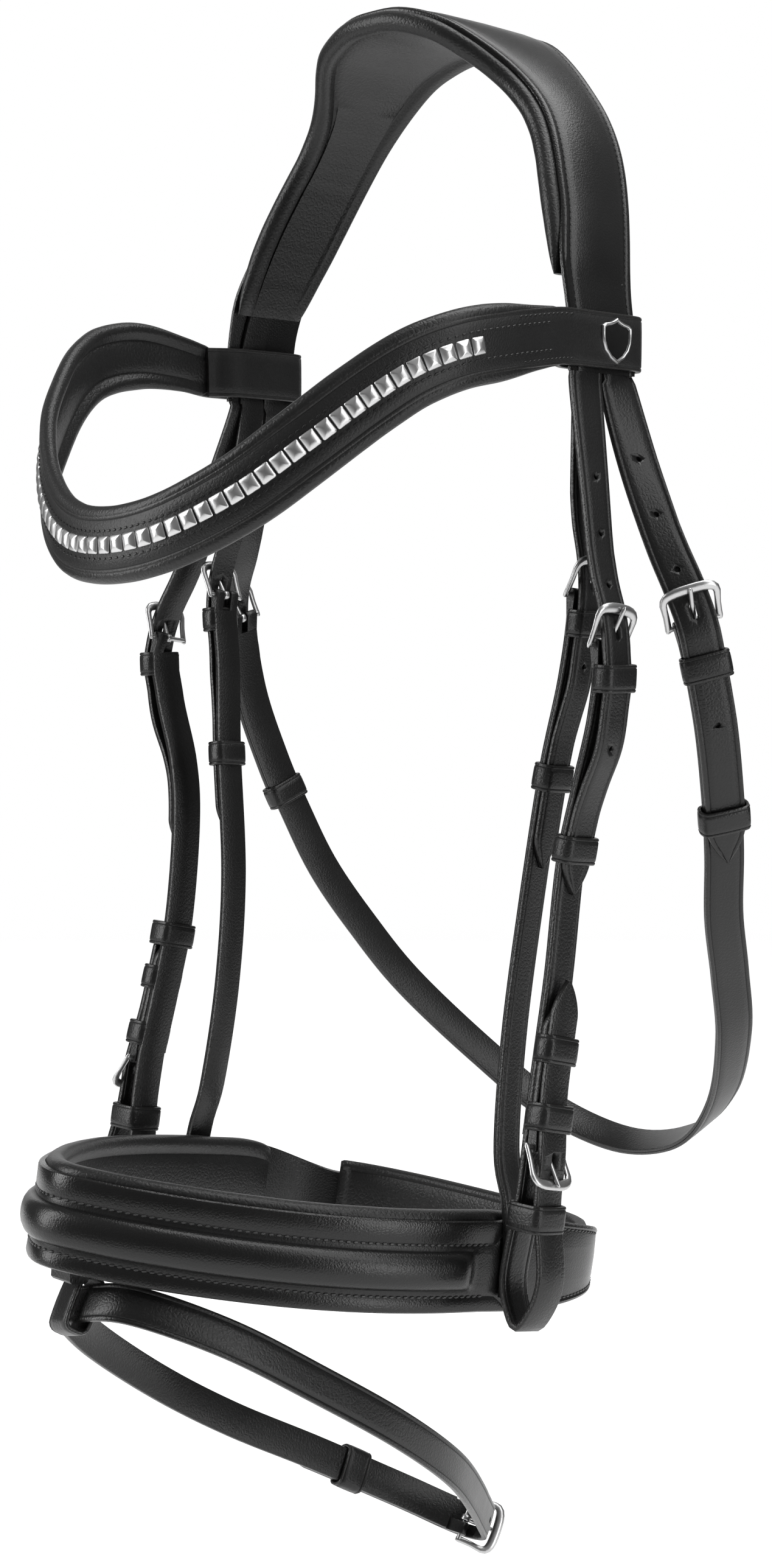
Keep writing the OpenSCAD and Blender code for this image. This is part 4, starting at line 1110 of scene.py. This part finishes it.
# ---- Flash ----
FLASH = Run([(2, 30, -659), (-20, 8, -645), (-36, -30, -622), (-49, -68, -600), (-55, -104, -576),
             (-47, -146, -545), (-28, -175, -521), (0, -190, -510), (28, -186, -505), (50, -156, -520),
             (62, -118, -545), (68, -80, -571), (62, -42, -599), (42, -6, -628), (20, 22, -651)],
            (-0.142, 0.565, 0.813), True)


def flash():
    end = FLASH.length
    shape, cutters = Shape(), Shape()
    lift = easy([(end - 42, 0), (end - 27, 1.2), (end - 14, 3.6), (end - 3, 4.5), (end + 8, 4.1), (end + 20, 3.1),
                 (end + 30, 2.9), (end + 120, 2.9)])
    sweep_strap(shape, FLASH.place, 7, end + 96, FLASH_W, BILLET_T, lift, 13, 3.0)
    bar_fold(shape, FLASH.place(0), FLASH_W, low=-1.3, high=1.3)
    slot_hole(cutters, FLASH.place(0), -9.6, 0.4, 1.6)
    for d in (26, -22):
        hole(cutters, FLASH.place(d).moved(0, lift(end + d)), depth=1.5)
    keep(shape, "flash_strap_leather", "flash", ["flash_strap"], cutters=cutters)
    shape = Shape()
    band(shape, FLASH.place(60), FLASH_W, -1.3, 4.3, 13)
    keep(shape, "flash_keeper_band", "flash", ["flash_keeper"])
    buckle(FLASH.place(0), FLASH_W, "flash", "flash")

    shape = Shape()
    band(shape, FLASH.place(FLASH.length_at(7)), FLASH_W, -1.3, 1.3, 16, 1.9, 2.45, 3.2)
    foot = -NOSE_H - 5
    neck = [(-194.6, foot + 9), (-195, foot + 4), (-194.6, foot + 0.6), (-193.4, foot - 0.4), (-187, foot - 0.4),
            (-185.6, foot + 0.6), (-185.2, foot + 4), (-185.6, foot + 9)]
    shape.loft([[NOSE_TILT @ Vector((x, y, z)) + NOSE_LIFT for y, z in neck] for x in (-4.4, -3.9, 7.1, 7.6)])
    keep(shape, "flash_tab_loop", "noseband", ["flash_tab"])


crown_leather()
crown_padding()
headstrap()
browband()
cheekpieces()
noseband()
noseband_straps()
throatlash()
flash()


# ---- Camera, floor and light ----
DOWNWARDS, ROUND = 4.64, 45  # the camera looks down by the first angle, from the second angle round to the near side
FLOOR_Z, FLOOR_HALF = -0.73, 6
WHITE = (1, 1, 1, 1)


def camera():
    lens = bpy.data.cameras.new("camera")
    lens.lens, lens.sensor_width = 52.73, 36
    eye = add("camera", lens)
    eye.location = (0.703, -0.723, -0.236)
    eye.rotation_euler = (math.radians(90 - DOWNWARDS), 0, math.radians(ROUND))
    bpy.context.scene.camera = eye


def floor():
    """Plain pale floor under the object that fades out into the white studio."""
    mesh = bpy.data.meshes.new("floor")
    corners = [(x * FLOOR_HALF, y * FLOOR_HALF, FLOOR_Z) for x, y in ((-1, -1), (1, -1), (1, 1), (-1, 1))]
    mesh.from_pydata(corners, [], [(0, 1, 2, 3)])
    m, t, shader, where = material("floor")
    feed(t, shader, {"Base Color": mix_colour(t, noisy(t, where, 3.0), grey(0.8), grey(0.84)), "Roughness": 0.9,
                     "Emission Color": WHITE, "Emission Strength": 0.5})
    reach = node(t, "ShaderNodeVectorMath", {0: where}, operation="LENGTH").outputs["Value"]
    fade = node(t, "ShaderNodeMapRange", {"Value": reach, "From Min": 0.9, "From Max": 2.6},
                interpolation_type="SMOOTHSTEP").outputs[0]
    clear = node(t, "ShaderNodeBsdfTransparent").outputs[0]
    t.links.new(node(t, "ShaderNodeMixShader", {0: fade, 1: shader.outputs[0], 2: clear}).outputs[0],
                t.nodes["Material Output"].inputs[0])
    mesh.materials.append(m)
    piece = add("floor", mesh)


def world():
    """White behind the object; a dim studio gradient for everything that it lights."""
    w = bpy.data.worlds.new("studio")
    bpy.context.scene.world = w
    w.use_nodes = True
    t = w.node_tree
    t.nodes.clear()
    out = t.nodes.new("ShaderNodeOutputWorld")
    way = node(t, "ShaderNodeSeparateXYZ", {0: node(t, "ShaderNodeTexCoord").outputs["Generated"]}).outputs["Z"]
    up = node(t, "ShaderNodeMapRange",
              {"Value": way, "From Min": -0.2, "From Max": 0.9, "To Min": 0.07, "To Max": 0.3}).outputs[0]
    light, seen = (node(t, "ShaderNodeBackground", {"Strength": k, "Color": WHITE}).outputs[0] for k in (up, 1.0))
    direct = node(t, "ShaderNodeLightPath").outputs["Is Camera Ray"]
    t.links.new(node(t, "ShaderNodeMixShader", {0: direct, 1: light, 2: seen}).outputs[0], out.inputs[0])


def lamp(name, place, target, size, power):
    light = bpy.data.lights.new(name, "AREA")
    light.shape, light.size, light.size_y, light.energy = "RECTANGLE", size[0], size[1], power
    o = add(name, light)
    o.location = place
    o.rotation_euler = (Vector(target) - Vector(place)).to_track_quat("-Z", "Y").to_euler()


camera()
floor()
world()
lamp("left_softbox", (-0.9, -1.4, 0.3), (0, 0, -0.3), (0.7, 1.7), 24)
lamp("right_softbox", (1.5, 0.25, 0.85), (0, 0, -0.3), (0.9, 1.2), 9)
lamp("side_softbox", (1.7, 0.1, -0.35), (0, 0, -0.4), (0.5, 0.8), 6)
lamp("top_softbox", (0.3, 0.4, 1.3), (0, 0, 0), (1.1, 1.1), 16)
lamp("back_panel", (-1.5, 1.5, 0.1), (0, 0, -0.3), (2.4, 2.0), 11)
bpy.context.scene.view_settings.view_transform = "Standard"
